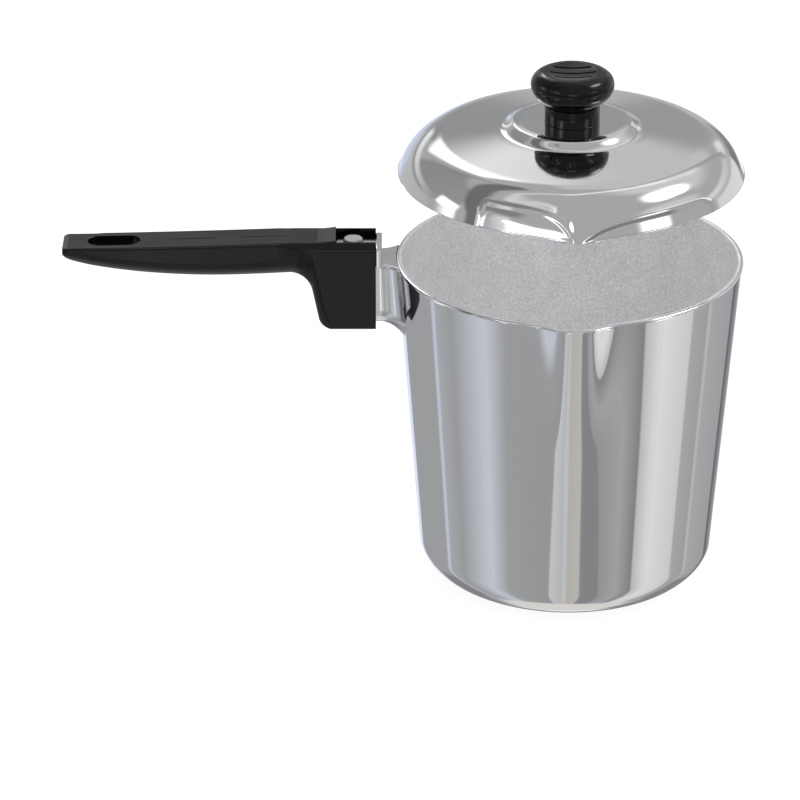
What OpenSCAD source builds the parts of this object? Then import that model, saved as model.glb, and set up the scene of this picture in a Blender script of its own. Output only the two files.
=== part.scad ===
// Saucepan with two pouring lips, a bolted handle and a lid with a screwed-on knob.
// Millimetres. The origin is the centre of the flat base, +Z is up, the handle runs to -X
// and the two pouring lips point to -Y and +Y.

/* [Pan] */
// Outer radius of the rim, away from the lips
rim_r = 88; // [70:1:110]
// Height of the pan from the base to the rim
pan_h = 170.5; // [130:0.5:220]
// Outer radius of the tapered wall where it would meet the base plane
base_r = 74.7; // [60:0.1:90]
// Radius of the round corner between the wall and the base
corner_r = 17; // [8:1:24]
// Thickness of the wall
wall_t = 3; // [2:0.1:4]
// Thickness of the floor
floor_t = 4.5; // [3:0.5:8]
// Rounding of the rim's outer edge
rim_round = 1.4; // [0.4:0.1:1.6]

/* [Pouring lips] */
// How far each lip stands out from the round rim
lip_reach = 6.4; // [4:0.1:8]
// Half width of a lip where it is half of its reach
lip_half_w = 13.2; // [10:0.1:17]
// How far down the wall the lip runs before only a faint ridge is left
lip_depth = 70; // [40:1:90]
// Share of the reach that the faint ridge keeps below the lip
ridge_share = 0.12; // [0:0.01:0.3]

/* [Bracket] */
// Length of the neck from the round rim to the outer face of the stop plate
neck_l = 10.2; // [9:0.1:16]
// Thickness of the stop plate
plate_t = 3.1; // [2:0.1:5]
// Width of the stop plate
plate_w = 24.2; // [22:0.1:25]
// Height of the stop plate above the rim
plate_up = 8.3; // [6:0.1:10]
// Width of the neck between the wall and the stop plate
neck_w = 24; // [20:0.2:25]
// Depth of the neck below the rim at the stop plate
neck_depth = 33.6; // [26:0.1:36]
// Length of the tang that runs into the handle
tang_l = 20; // [18:0.5:26]
// Width of the tang's body, which fills the channel of the handle
tang_w = 17.2; // [14:0.2:17.6]
// Width of the rib along the top of the tang
rib_w = 6.8; // [4:0.2:8]
// Height of that rib
rib_h = 3.1; // [2:0.1:4]
// Depth of the tang's body below the rim
tang_down = 6; // [4:0.5:9]

/* [Handle] */
// Length of the handle from the stop plate to its tip
handle_l = 158.3; // [130:0.1:190]
// Height of the handle's top above the rim at the block
handle_up = 11.6; // [10:0.1:13]
// How much lower the top lies at the tip
handle_drop = 3.15; // [0:0.05:6]
// Width of the flat top
top_w = 20.4; // [18.6:0.2:21]
// Width of the grip
grip_w = 21; // [21:0.2:24]
// Width of the block beside the pan
block_w = 25; // [25:0.5:30]
// Depth of the block below the rim
block_depth = 35.6; // [34:0.1:42]
// Depth of the grip below the rim at its thickest
grip_depth = 8.7; // [6:0.1:11]
// Height of the thumb rest at its end
thumb_h = 1.1; // [0.4:0.1:2]
// Length of the thumb rest
thumb_l = 11; // [8:0.5:14]
// Length of the hanging slot from end to end
slot_l = 26.5; // [20:0.1:34]
// Width of the hanging slot
slot_w = 12.3; // [8:0.1:14]
// Distance from the handle's tip to the near end of the slot
slot_in = 12.5; // [9:0.1:20]

/* [Handle bolt] */
// Distance from the stop plate to the bolt's axis
bolt_in = 11.5; // [10.5:0.1:12.5]
// Diameter of the nut's round head
nut_head_d = 9.6; // [8.6:0.1:11]
// Height of the nut's head above the tang's rib
nut_proud = 1.9; // [0.5:0.1:2.4]
// Diameter of the nut's barrel
nut_d = 7; // [6.4:0.1:8]
// Diameter of the screws for the handle and the knob
screw_d = 4.2; // [3:0.1:5]
// Diameter of the screws' heads
screw_head_d = 8.6; // [7.4:0.1:9.4]
// Height of the screws' heads
screw_head_h = 2.6; // [2:0.1:3.4]
// Thickness of the handle screw's washer
washer_t = 1.2; // [0.8:0.1:2]
// Depth of the screw's recess in the underside of the block
recess_depth = 11.2; // [8:0.1:14]

/* [Lid] */
// Height of the lid's edge above the rim, as the photograph shows it taken off
lid_gap = 46.6; // [20:0.1:80]
// How far the lid's outer edge stays inside the rim's outer edge
lid_inset = 0.9; // [0.4:0.1:1.6]
// Height of the lid from its edge to the flat centre
lid_h = 27.4; // [24:0.1:34]
// Thickness of the lid
lid_t = 2.2; // [1.6:0.1:2.6]
// Radius of the flat centre
plateau_r = 29.3; // [26:0.1:32]
// Radius of the foot of the step round the centre
step_r = 37.2; // [35:0.1:41]
// Height of that step
step_h = 3.9; // [2.6:0.1:4.6]
// Slope of the cone outside the step, in degrees
cone_slope = 7; // [4:0.5:9]
// Radius at which the cone turns into the shoulder
shoulder_r = 64; // [60:0.5:68]
// Slope of the skirt at the edge, in degrees
skirt_slope = 67; // [64:1:72]
// How far the locating rib reaches down into the pan
rib_reach = 1.5; // [1:0.1:3]
// How far the lid's tips stand out from its round edge
tip_reach = 8.5; // [6.5:0.1:11]

/* [Knob] */
// Radius of the knob's stem
stem_r = 13.9; // [11:0.1:15]
// Largest radius of the knob's head
head_r = 21; // [18:0.1:24]
// Height of the whole knob
knob_h = 26.3; // [22:0.1:32]
// Radius of the dished disc on top
dish_r = 13.2; // [10:0.1:15]
// Depth of the dish
dish_depth = 1.4; // [0.6:0.1:1.8]
// Width of each groove across the dish
groove_w = 1.5; // [0.8:0.1:2]
// Distance between two grooves
groove_pitch = 6.8; // [4.4:0.1:7.4]
// Diameter of the threaded bush in the knob
bush_d = 9; // [8:0.1:11]
// Length of that bush
bush_l = 14; // [10:0.5:16]

/* [Hidden] */
$fn = 64;

// Clearances
seat_gap = 0.02;
slide_gap = 0.3;
thread_gap = 0.1;
over = 1;
plate_x = rim_r + neck_l;

// Angles of the points round the pan and the lid, close together at the lips
coarse_step = 5;
lip_angle = 20;
lip_steps = 8;
angles = [
    for (side = [-90, 90]) each [
        each [for (k = [-lip_steps:lip_steps - 1])
            side + lip_angle * sign(k) * pow(abs(k) / lip_steps, 1.35)],
        each [for (a = [lip_angle:coarse_step:180 - lip_angle - coarse_step]) side + a]
    ]
];

function smooth(t) = let (c = min(max(t, 0), 1)) c * c * (3 - 2 * c);
function mix(a, b, t) = a + (b - a) * t;

// Push of a pan's lip at an angle, a nearly flat nose between two steep flanks
function lip_at(angle) = lip_reach / (1 + pow(rim_r * cos(angle) / lip_half_w, 4));

// One ring of points at radius r and height z, with that share of the lips' push
function ring(r, z, share) =
    [for (a = angles) let (q = r + share * lip_at(a)) [q * cos(a), q * sin(a), z]];

// A closed solid through rings of equal count, capped by its first and last ring
module skin(rings) {
    n = len(rings[0]);
    m = len(rings);
    polyhedron(
        points = [for (one = rings) each one],
        faces = [
            [for (j = [0:n - 1]) j],
            [for (j = [n - 1:-1:0]) (m - 1) * n + j],
            for (i = [0:m - 2]) for (j = [0:n - 1])
                [i * n + j, (i + 1) * n + j, (i + 1) * n + (j + 1) % n],
            for (i = [0:m - 2]) for (j = [0:n - 1])
                [i * n + j, (i + 1) * n + (j + 1) % n, i * n + (j + 1) % n]
        ]
    );
}

// Pan: radius of the outer wall, and how much of the lip is left at a height
function wall_r(z) = mix(base_r, rim_r, z / pan_h);
taper = atan((rim_r - base_r) / pan_h);
function lip_left(z) = mix(pow(max(0, 1 - (pan_h - z) / lip_depth), 1.35), smooth(z / pan_h), ridge_share);

// Where the round base corner meets the wall, with its centre on a line at corner_r above the base
corner_x = wall_r(corner_r) - corner_r / cos(taper);
function corner_points(r, up) = [for (a = [-90:15:-taper - 5]) [corner_x + r * cos(a), up + r * sin(a)]];

inner_corner_r = corner_r - wall_t;
wall_levels = [
    corner_r,
    mix(corner_r, pan_h - lip_depth, 0.5),
    each [for (t = [0:0.2:0.8]) mix(pan_h - lip_depth, pan_h - 4, t)]
];
rim_break = 0.3;

module pan_shell() {
    outer = [
        each [for (p = corner_points(corner_r, corner_r)) [p.x, p.y, 0]],
        each [for (z = wall_levels) [wall_r(z), z, lip_left(z)]],
        [wall_r(pan_h - 4), pan_h - 4, lip_left(pan_h - 4)]
    ];
    rim = [
        [wall_r(pan_h - rim_round), pan_h - rim_round, 1],
        [rim_r - 0.3 * rim_round, pan_h - 0.3 * rim_round, 1],
        [rim_r - rim_round, pan_h, 1],
        [rim_r - wall_t + rim_break, pan_h, 1],
        [rim_r - wall_t, pan_h - rim_break, 1]
    ];
    inner = [
        each [for (i = [len(wall_levels) - 1:-1:0]) let (z = wall_levels[i])
            [wall_r(z) - wall_t, z, lip_left(z)]],
        each [for (i = [5:-1:0]) let (p = corner_points(inner_corner_r, floor_t + inner_corner_r)[i])
            [p.x, p.y, 0]]
    ];
    color("gainsboro")
    skin([for (p = concat(outer, rim, inner)) ring(p.x, p.y, p.z)]);
}

// Bracket: half width and depth of the neck's section at a distance from the pan's axis
flare = 26;
flare_depth = neck_depth + 11;
wall_near = sqrt(pow(wall_r(pan_h - flare_depth), 2) - pow(flare, 2)) - 1;
function flare_at(x) = pow(min(max((plate_x - 2 - x) / (plate_x - 2 - wall_near), 0), 1), 2);
function neck_section(x) =
    let (
        w = mix(neck_w / 2, flare, flare_at(x)),
        depth = mix(neck_depth, flare_depth, flare_at(x)),
        bend = 9 + 5 * flare_at(x),
        half = [
            [w - 0.8, pan_h],
            [w, pan_h - 0.8],
            each [for (a = [0:15:90]) [w - bend + bend * cos(a), pan_h - depth + bend - bend * sin(a)]]
        ]
    )
    [
        each [for (p = half) [-x, -p.x, p.y]],
        each [for (i = [len(half) - 1:-1:0]) [-x, half[i].x, half[i].y]]
    ];

bolt_x = -plate_x - bolt_in;
rib_top = pan_h + plate_up;
tang_top = rib_top - rib_h;
tang_bottom = pan_h - tang_down;
plate_down = 1.7;
nut_hole_d = nut_d + slide_gap;
head_hole_d = nut_head_d + 2 * slide_gap;

module handle_bracket() {
    stations = [plate_x, each [for (t = [0:0.1:1]) mix(plate_x - plate_t, wall_near, t)]];
    color("silver")
    difference() {
        union() {
            skin([for (x = stations) neck_section(x)]);
            translate([-plate_x, -plate_w / 2, pan_h - plate_down])
                cube([plate_t, plate_w, plate_up + plate_down]);
            translate([-plate_x - tang_l, -tang_w / 2, tang_bottom])
                cube([tang_l + over, tang_w, tang_top - tang_bottom]);
            translate([-plate_x - tang_l, -rib_w / 2, tang_top - over])
                cube([tang_l + over, rib_w, rib_h + over]);
        }
        translate([0, 0, -over])
            cylinder(h = pan_h + 2 * over, r1 = wall_r(-over) + seat_gap,
                r2 = wall_r(pan_h + over) + seat_gap, $fn = 128);
        translate([bolt_x, 0, tang_bottom - over])
            cylinder(h = tang_top - tang_bottom + 2 * over, d = nut_hole_d);
        translate([bolt_x, 0, tang_top])
            cylinder(h = rib_h + over, d = head_hole_d);
    }
}

// Handle: the underside follows a block, a round corner, a raked face, a fillet and the grip
rake = 12;
block_l = 23.2;
block_corner = 6;
fillet_r = 11;
fillet_rise = 1.9;
grip_bottom = -grip_depth + fillet_rise;
face_low = [block_l + block_corner * cos(rake), -block_depth + block_corner - block_corner * sin(rake)];
face_l = (grip_bottom - fillet_r + fillet_r * sin(rake) - face_low.y) / cos(rake);
fillet_x = face_low.x + face_l * sin(rake) + fillet_r * cos(rake);
thick_at = 83;
tip_rise = 11.5;
tip_power = 1.8;
function grip_under(u) = u < thick_at
    ? -grip_depth + fillet_rise * pow((thick_at - u) / (thick_at - fillet_x), 2)
    : let (t = (u - thick_at) / (handle_l - thick_at))
        -grip_depth + tip_rise * (1 - pow(1 - pow(t, tip_power), 1 / tip_power));
under_path = [
    [0, -block_depth],
    [block_l / 2, -block_depth],
    each [for (a = [-90:15.6:-rake]) [block_l + block_corner * cos(a),
        -block_depth + block_corner + block_corner * sin(a)]],
    [face_low.x + face_l * sin(rake) / 2, face_low.y + face_l * cos(rake) / 2],
    each [for (a = [180 - rake:-13:90]) [fillet_x + fillet_r * cos(a),
        grip_bottom - fillet_r + fillet_r * sin(a)]],
    each [for (t = [0.08, 0.17, 0.28, 0.4, 0.52, 0.64, 0.75, 0.84, 0.91, 0.96, 0.985, 1])
        let (u = mix(fillet_x, handle_l, t)) [u, grip_under(u)]]
];

level_l = 42;
function top_at(u) = let (t = max(0, (u - level_l) / (handle_l - level_l)))
    handle_up - handle_drop * (1 - pow(max(0, 1 - t), 1.35));
function tip_inset(u) = 1.3 * pow(max(0, 1 - (handle_l - u) / 2.6), 2);
function side_w(u) = mix(block_w / 2, grip_w / 2, smooth((u - 30) / 22));
function shoulder_drop(u) = mix(3.4, 1.2, smooth((u - 26) / 22));
function under_flat(u) = lookup(u, [[0, block_w / 2 - 2.5], [block_l, block_w / 2 - 2.5],
    [face_low.x, block_w / 2 - 5.5], [fillet_x, 3], [fillet_x + 20, 1.2]]);
function under_bend(u, z) = let (room = top_at(u) - 4 - z)
    min(room, lookup(u, [[0, 2.5], [block_l, 2.5], [face_low.x, 26], [fillet_x, 12], [fillet_x + 20, 9]]));

function grip_section(u, z) =
    let (
        inset = tip_inset(u),
        top = top_at(u) - inset / 2,
        w = side_w(u) - inset,
        flat_w = under_flat(u) - min(inset, 1),
        bend = under_bend(u, z),
        drop = shoulder_drop(u),
        half = [
            [top_w / 2 - inset, top],
            [mix(top_w / 2 - inset, w, 0.72), top - 0.3 * drop],
            [w, top - drop],
            each [for (a = [0:11.25:90]) [mix(flat_w, w, cos(a)), z + bend - bend * sin(a)]]
        ]
    )
    [
        each [for (p = half) [-plate_x - u, -p.x, pan_h + p.y]],
        each [for (i = [len(half) - 1:-1:0]) [-plate_x - u, half[i].x, pan_h + half[i].y]]
    ];

recess_d = screw_head_d + 2.4;
ledge_z = pan_h - block_depth + recess_depth;
channel_w = tang_w + 2 * slide_gap;
spanner_d = channel_w + 1.4;
slot_x = -plate_x - handle_l + slot_in;

module handle_grip() {
    color("dimgray")
    difference() {
        union() {
            skin([for (i = [len(under_path) - 1:-1:0]) grip_section(under_path[i].x, under_path[i].y)]);
            thumb_rest();
        }
        channel();
        translate([bolt_x, 0, ledge_z - over])
            cylinder(h = tang_bottom - ledge_z + 2 * over, d = nut_hole_d);
        translate([bolt_x, 0, pan_h - block_depth - over])
            cylinder(h = recess_depth + over, d = recess_d);
        hanging_slot();
    }
}

// The thumb rest is a hollow ramp that is steepest at its end, a little narrower than the handle's top
rest_inset = 1;
module thumb_rest() {
    end_x = -plate_x - tang_l - slide_gap;
    rest_top = pan_h + handle_up - seat_gap;
    translate([0, top_w / 2 - rest_inset, 0])
    rotate([90, 0, 0])
    linear_extrude(top_w - 2 * rest_inset)
        polygon([
            [end_x, rest_top - over],
            each [for (t = [0:0.2:1]) [end_x - thumb_l * t, rest_top + thumb_h * pow(1 - t, 2)]],
            [end_x - thumb_l, rest_top - over]
        ]);
}

module channel() {
    translate([-plate_x - tang_l - slide_gap, -channel_w / 2, tang_bottom])
        cube([tang_l + slide_gap + over, channel_w, handle_up + tang_down + 2 * over]);
    intersection() {
        translate([bolt_x, 0, tang_top])
            cylinder(h = handle_up + 2 * over, d = spanner_d);
        translate([-plate_x - tang_l - slide_gap, -spanner_d / 2, tang_bottom])
            cube([tang_l + slide_gap, spanner_d, handle_up + tang_down + 2 * over]);
    }
}

module hanging_slot() {
    r = slot_w / 2;
    translate([slot_x, 0, pan_h - grip_depth - over])
    linear_extrude(handle_up + grip_depth + 2 * over) {
        translate([r, -r]) square([slot_l - slot_w, slot_w]);
        translate([r, 0]) circle(r);
        translate([slot_l - r, 0]) circle(r);
    }
}

// Handle bolt: the nut's head rests on the tang's body, inside the hole through the rib
nut_bottom = ledge_z + 7;
nut_cap = 4;
screw_clear = 1;

module handle_nut() {
    color("lightgray")
    difference() {
        union() {
            translate([bolt_x, 0, tang_top + seat_gap])
                cylinder(h = rib_h + nut_proud, d = nut_head_d);
            translate([bolt_x, 0, nut_bottom])
                cylinder(h = tang_top + over - nut_bottom, d = nut_d);
        }
        translate([bolt_x, 0, nut_bottom - over])
            cylinder(h = tang_top - nut_cap - nut_bottom + over, d = screw_d + 2 * thread_gap);
    }
}

module washer(d, hole_d, t) {
    difference() {
        cylinder(h = t, d = d);
        translate([0, 0, -over]) cylinder(h = t + 2 * over, d = hole_d);
    }
}

module handle_washer() {
    color("darkgray")
    translate([bolt_x, 0, ledge_z - washer_t])
        washer(screw_head_d + 1, screw_d + 0.6, washer_t);
}

// A pan-head screw that points up, with the underside of its head at the origin
drive_depth = 1.2;
drive_w = 1.2;
module screw(length, slot_depth) {
    difference() {
        union() {
            cylinder(h = length, d = screw_d);
            translate([0, 0, -screw_head_h]) cylinder(h = screw_head_h, d = screw_head_d);
        }
        translate([-screw_head_d, -drive_w / 2, -screw_head_h - over])
            cube([2 * screw_head_d, drive_w, slot_depth + over]);
    }
}

module handle_screw() {
    seat = ledge_z - washer_t;
    color("darkgray")
    translate([bolt_x, 0, seat])
        screw(tang_top - nut_cap - screw_clear - seat, drive_depth);
}

// Lid: the profile runs from the flat centre over the step, the cone and the shoulder to the edge
lid_z = pan_h + lid_gap;
lid_r = rim_r - lid_inset;
step_foot = lid_h - step_h;
shoulder_z = step_foot - (shoulder_r - step_r) * tan(cone_slope);
// The shoulder's arc and the skirt's straight part together reach the edge's radius and height
turn_r = sin(skirt_slope) - sin(cone_slope);
turn_z = cos(cone_slope) - cos(skirt_slope);
arc_r = ((lid_r - shoulder_r) * sin(skirt_slope) - shoulder_z * cos(skirt_slope))
    / (turn_r * sin(skirt_slope) - turn_z * cos(skirt_slope));

// A tip of the lid is a beak that is sharp at the edge. A facet slopes down to it from the shoulder, and
// where the facet meets the skirt two ridges run up to both sides. s is the distance from the tip's middle.
tip_fall = 14;
tip_blunt = 1.5;
facet_h = 16;
ridge_h = 10;
function tip_at(s) = tip_reach * exp((tip_blunt - sqrt(s * s + tip_blunt * tip_blunt)) / tip_fall);
function ridge_z(s) = ridge_h * (1 - 0.8 * exp(-abs(s) / 5));
function facet_left(s, z) = let (t = max(0, facet_h - z) / (facet_h - ridge_z(s)))
    pow(t, 1.7) / pow(1 + pow(t, 12), 1.7 / 12);
function lid_ring(r, z, top_z) =
    [for (a = angles) let (s = rim_r * cos(a), q = r + tip_at(s) * facet_left(s, top_z))
        [q * cos(a), q * sin(a), z]];

function step_drop(t) = step_h * (1 - pow(1 - pow(t, 1.35), 2.2));
// Outer profile, moved inwards by t: radius, height above the edge, and the outer height there
function lid_profile(t) = [
    each [for (k = [0, 0.15, 0.35, 0.6, 1]) let (z = lid_h - step_drop(k))
        [mix(plateau_r, step_r, k) - 0.4 * t * (1 - k) - 0.1 * t, z - t, z]],
    [mix(step_r, shoulder_r, 0.5) - 0.12 * t, mix(step_foot, shoulder_z, 0.5) - t, step_foot],
    each [for (k = [0:6]) let (a = mix(cone_slope, skirt_slope, k / 6))
        let (z = shoulder_z - arc_r * (cos(cone_slope) - cos(a)))
        [shoulder_r + arc_r * (sin(a) - sin(cone_slope)) - t * sin(a), z - t * cos(a), z]]
];

locate_r = rim_r - wall_t - slide_gap;
module lid_shell() {
    top = lid_profile(0);
    under = lid_profile(lid_t);
    // The locating rib has the pan's lip, and the edge has the lid's own tip
    rib = [
        [locate_r - lid_t, -rib_reach],
        [locate_r - 0.5, -rib_reach],
        [locate_r, 0.5 - rib_reach],
        [locate_r, 0]
    ];
    edge = [[lid_r - 0.4, 0], [lid_r, 0.4]];
    color("gainsboro")
    translate([0, 0, lid_z])
    difference() {
        skin(concat(
            [for (p = under) lid_ring(p.x, p.y, p.z)],
            [for (p = rib) ring(p.x, p.y, 1)],
            [for (p = edge) lid_ring(p.x, p.y, 0)],
            [for (i = [len(top) - 1:-1:0]) lid_ring(top[i].x, top[i].y, top[i].z)]
        ));
        translate([0, 0, lid_h - lid_t - over]) cylinder(h = lid_t + 2 * over, d = screw_d + 1);
    }
}

// Knob: a straight stem, a neck and a head whose upper and lower halves are two ovals
knob_z = lid_z + lid_h;
head_z = 0.74 * knob_h;
neck_z = 0.36 * knob_h;
low_power = 1.8;
bush_cap = 2;
knob_washer_t = 1;
dish_curve = (dish_r * dish_r + dish_depth * dish_depth) / (2 * dish_depth);

module lid_knob() {
    bulge = head_r - dish_r;
    outline = [
        [0, 0],
        [stem_r - 0.4, 0],
        [stem_r, 0.4],
        [stem_r, neck_z - 1.4],
        [stem_r - 0.7, neck_z - 0.5],
        each [for (a = [-80:10:0])
            [dish_r + bulge * pow(cos(a), low_power), head_z + (head_z - neck_z) * sin(a)]],
        each [for (a = [10:10:90]) [dish_r + bulge * cos(a), head_z + (knob_h - head_z) * sin(a)]],
        [0, knob_h]
    ];
    color("dimgray")
    translate([0, 0, knob_z])
    difference() {
        rotate_extrude() polygon(outline);
        translate([0, 0, knob_h - dish_depth + dish_curve]) sphere(dish_curve, $fn = 128);
        for (row = [-1:1]) groove(row);
        translate([0, 0, -over]) cylinder(h = bush_l + over, d = bush_d + 2 * seat_gap);
    }
}

module groove(row) {
    half_l = sqrt(pow(dish_r - 2.2, 2) - pow(row * groove_pitch, 2));
    translate([0, row * groove_pitch, knob_h - dish_depth - 0.8])
    linear_extrude(3) {
        translate([-half_l, -groove_w / 2]) square([2 * half_l, groove_w]);
        translate([-half_l, 0]) circle(d = groove_w, $fn = 16);
        translate([half_l, 0]) circle(d = groove_w, $fn = 16);
    }
}

module knob_insert() {
    color("goldenrod")
    translate([0, 0, knob_z])
    difference() {
        cylinder(h = bush_l - seat_gap, d = bush_d);
        translate([0, 0, -over]) cylinder(h = bush_l - bush_cap + over, d = screw_d + 2 * thread_gap);
    }
}

module knob_washer() {
    color("darkgray")
    translate([0, 0, knob_z - lid_t - knob_washer_t])
        washer(screw_head_d + 4, screw_d + 0.6, knob_washer_t);
}

module knob_screw() {
    color("darkgray")
    translate([0, 0, knob_z - lid_t - knob_washer_t])
        screw(lid_t + knob_washer_t + bush_l - bush_cap - screw_clear, drive_depth);
}

pan_shell();
handle_bracket();
handle_grip();
handle_nut();
handle_washer();
handle_screw();
lid_shell();
lid_knob();
knob_insert();
knob_washer();
knob_screw();
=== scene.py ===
# %% [markdown]
# # A polished saucepan with two pouring lips
#
# A pressed and machined aluminium pan, its bolted black handle and its domed lid, which hangs above
# the rim. The CAD model holds every size, place and joint. This lesson gives each visible piece the
# smooth surface and the finish of the real one, in the same frame, in metres.

# %% The frame
import math

import bpy
import numpy as np
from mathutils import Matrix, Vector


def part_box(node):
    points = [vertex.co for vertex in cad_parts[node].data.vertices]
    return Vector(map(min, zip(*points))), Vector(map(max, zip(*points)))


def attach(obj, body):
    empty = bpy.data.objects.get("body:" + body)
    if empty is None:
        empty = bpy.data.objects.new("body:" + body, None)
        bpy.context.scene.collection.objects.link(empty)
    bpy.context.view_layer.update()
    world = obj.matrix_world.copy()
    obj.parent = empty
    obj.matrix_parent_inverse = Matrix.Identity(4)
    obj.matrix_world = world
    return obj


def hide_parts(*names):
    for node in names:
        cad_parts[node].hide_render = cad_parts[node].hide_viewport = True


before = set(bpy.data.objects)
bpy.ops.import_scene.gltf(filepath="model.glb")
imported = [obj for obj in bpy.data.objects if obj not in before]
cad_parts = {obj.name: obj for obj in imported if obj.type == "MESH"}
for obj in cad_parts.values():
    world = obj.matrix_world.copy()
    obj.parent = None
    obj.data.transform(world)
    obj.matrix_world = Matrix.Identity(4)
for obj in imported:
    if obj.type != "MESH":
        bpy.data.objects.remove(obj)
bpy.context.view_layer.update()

# %% [markdown]
# ## Sizes
#
# The shapes below are written in millimetres, because a maker thinks of a 3 mm wall and not of a
# 0.003 m one. One factor turns them into metres when a mesh is made. What the CAD boxes show is read
# from them, and the rest repeats the named sizes of the CAD source. Pieces that slide into each other
# have a gap, and bodies that are to be joined or cut overlap by a hair.

# %% Sizes read from the frame
MM = 0.001


def box_mm(node):
    """The lowest and highest corner of a CAD node, in millimetres."""
    low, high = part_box(node)
    return np.array(low) / MM, np.array(high) / MM


pan_high = box_mm("pan_shell")[1]
grip_low, grip_high = box_mm("handle_grip")
lid_low, lid_high = box_mm("lid_shell")
knob_low, knob_high = box_mm("lid_knob")
nut_low, nut_high = box_mm("handle_nut")

base_r = 74.7
corner_r = 17.0
wall_t = 3.0
floor_t = 4.5
rim_round = 1.4
slide_gap = 0.3
hair = 0.02
inside_box = 0.01
pan_h = pan_high[2]
# The pan is widest where the rim's rounding starts, and the wall's slope gives the rim from there.
# The skin stays just inside the CAD's box
rim_r = base_r + (pan_high[0] - inside_box - base_r) / (1 - rim_round / pan_h)
lip_reach = pan_high[1] - pan_high[0]
print(f"pan {2 * rim_r:.1f} mm across and {pan_h:.1f} mm high, with lips of {lip_reach:.1f} mm")

# %% [markdown]
# ## From a grid of points to a mesh
#
# Nearly every piece here is a skin through rings of points: a profile turned round an axis, or a
# section carried along a path. So one helper makes the faces of such a grid. It also turns the faces
# outwards: it adds up the volume that the faces enclose, and a negative sum means that they wind the
# wrong way.

# %% Grid helpers
def smooth(t):
    """The S-curve 3t^2 - 2t^3 between 0 and 1, flat at both ends."""
    t = np.clip(t, 0, 1)
    return t * t * (3 - 2 * t)


def grid_faces(rows, cols, wrap_rows=False):
    """Quads between neighbouring rows of a grid whose columns close on themselves."""
    i = np.arange(rows if wrap_rows else rows - 1)[:, None]
    j = np.arange(cols)[None]
    here, after = i * cols, (i + 1) % rows * cols
    return np.stack([here + j, after + j, after + (j + 1) % cols, here + (j + 1) % cols], -1).reshape(-1, 4)


def end_faces(rows, cols):
    """Triangles that close both ends of a grid: its first and last rows run to the two points after it."""
    j = np.arange(cols)
    start = (rows - 1) * cols
    first = np.stack([j, (j + 1) % cols, np.full(cols, rows * cols)], -1)
    last = np.stack([np.full(cols, rows * cols + 1), start + (j + 1) % cols, start + j], -1)
    return [first, last]


def enclosed_volume(points, faces):
    """Six times the volume inside a closed mesh: the sum of the tetrahedra from the origin to each face."""
    a, b, c = points[faces[:, 0]], points[faces[:, 1]], points[faces[:, 2]]
    total = np.einsum("ij,ij->", a, np.cross(b, c))
    if faces.shape[1] == 4:
        d = points[faces[:, 3]]
        total += np.einsum("ij,ij->", a, np.cross(c, d))
    return total


def build(name, points_mm, face_sets, finishes=None):
    """A mesh object from points in millimetres and arrays of faces, turned outwards and shaded smooth."""
    points = np.asarray(points_mm, float).reshape(-1, 3) * MM
    if sum(enclosed_volume(points, faces) for faces in face_sets) < 0:
        face_sets = [faces[:, ::-1] for faces in face_sets]
    mesh = bpy.data.meshes.new(name)
    mesh.from_pydata(points.tolist(), [], [face for faces in face_sets for face in faces.tolist()])
    mesh.polygons.foreach_set("use_smooth", np.ones(len(mesh.polygons), bool))
    if finishes is not None:
        mesh.polygons.foreach_set("material_index", np.concatenate(finishes).astype(np.int32))
    mesh.update()
    piece = bpy.data.objects.new(name, mesh)
    bpy.context.scene.collection.objects.link(piece)
    print(f"{name}: {len(mesh.vertices)} points, {len(mesh.polygons)} faces")
    return piece


def build_closed(name, grid, ends=None, finishes=None):
    """A closed piece from a grid of rings. Its ends run to the end rings' middles, or to given points."""
    rows, cols = grid.shape[:2]
    if ends is None:
        ends = [grid[0].mean(0), grid[-1].mean(0)]
    points = np.concatenate([grid.reshape(-1, 3), ends])
    return build(name, points, [grid_faces(rows, cols)] + end_faces(rows, cols), finishes)


# %% [markdown]
# ## Profiles
#
# A turned or pressed piece is drawn as half of its section: straight runs joined by arcs. A profile
# here is an array of rows, each with a radius and a height. Arcs get a point every few degrees, so
# that a mirror finish bends its reflections without steps.

# %% Profile helpers
def line(start, end, steps):
    """Points from start to end, both included, evenly spaced."""
    return np.linspace(start, end, steps + 1)


def arc(centre, radii, first, last, steps):
    """Points on an ellipse round a centre, from one angle in degrees to another."""
    a = np.radians(np.linspace(first, last, steps + 1))
    return np.asarray(centre) + np.stack([radii[0] * np.cos(a), radii[1] * np.sin(a)], -1)


def corner(before, at, after, cut, steps):
    """A rounded corner: the parabola that leaves the two sides at the distance cut from the corner."""
    before, at, after = (np.asarray(p, float) for p in (before, at, after))
    cut = np.asarray(cut, float)[..., None]
    start = at + (before - at) / np.linalg.norm(before - at, axis=-1, keepdims=True) * cut
    end = at + (after - at) / np.linalg.norm(after - at, axis=-1, keepdims=True) * cut
    t = np.linspace(0, 1, steps + 1)[:, None]
    start, at, end = (p[..., None, :] for p in (start, at, end))
    return start * (1 - t) ** 2 + 2 * at * t * (1 - t) + end * t ** 2


def chain(*runs):
    """Runs of points as one profile, without the points that a run shares with the one before."""
    points = np.concatenate(runs)
    keep = np.concatenate([[True], np.linalg.norm(np.diff(points, axis=0), axis=1) > 1e-6])
    return points[keep]


# %% [markdown]
# ## Materials
#
# Every finish starts from the real material and from the process that made its surface. Colours are
# written as sRGB hex values, the numbers that a paint card gives, and one function turns them into
# the linear values that light is added up in. One more small function adds a shader node together
# with its settings and links. The size of a pattern is written as grains per millimetre, and the
# depth of a bump in millimetres.

# %% Material helpers
PER_MM = 1 / MM


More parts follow.
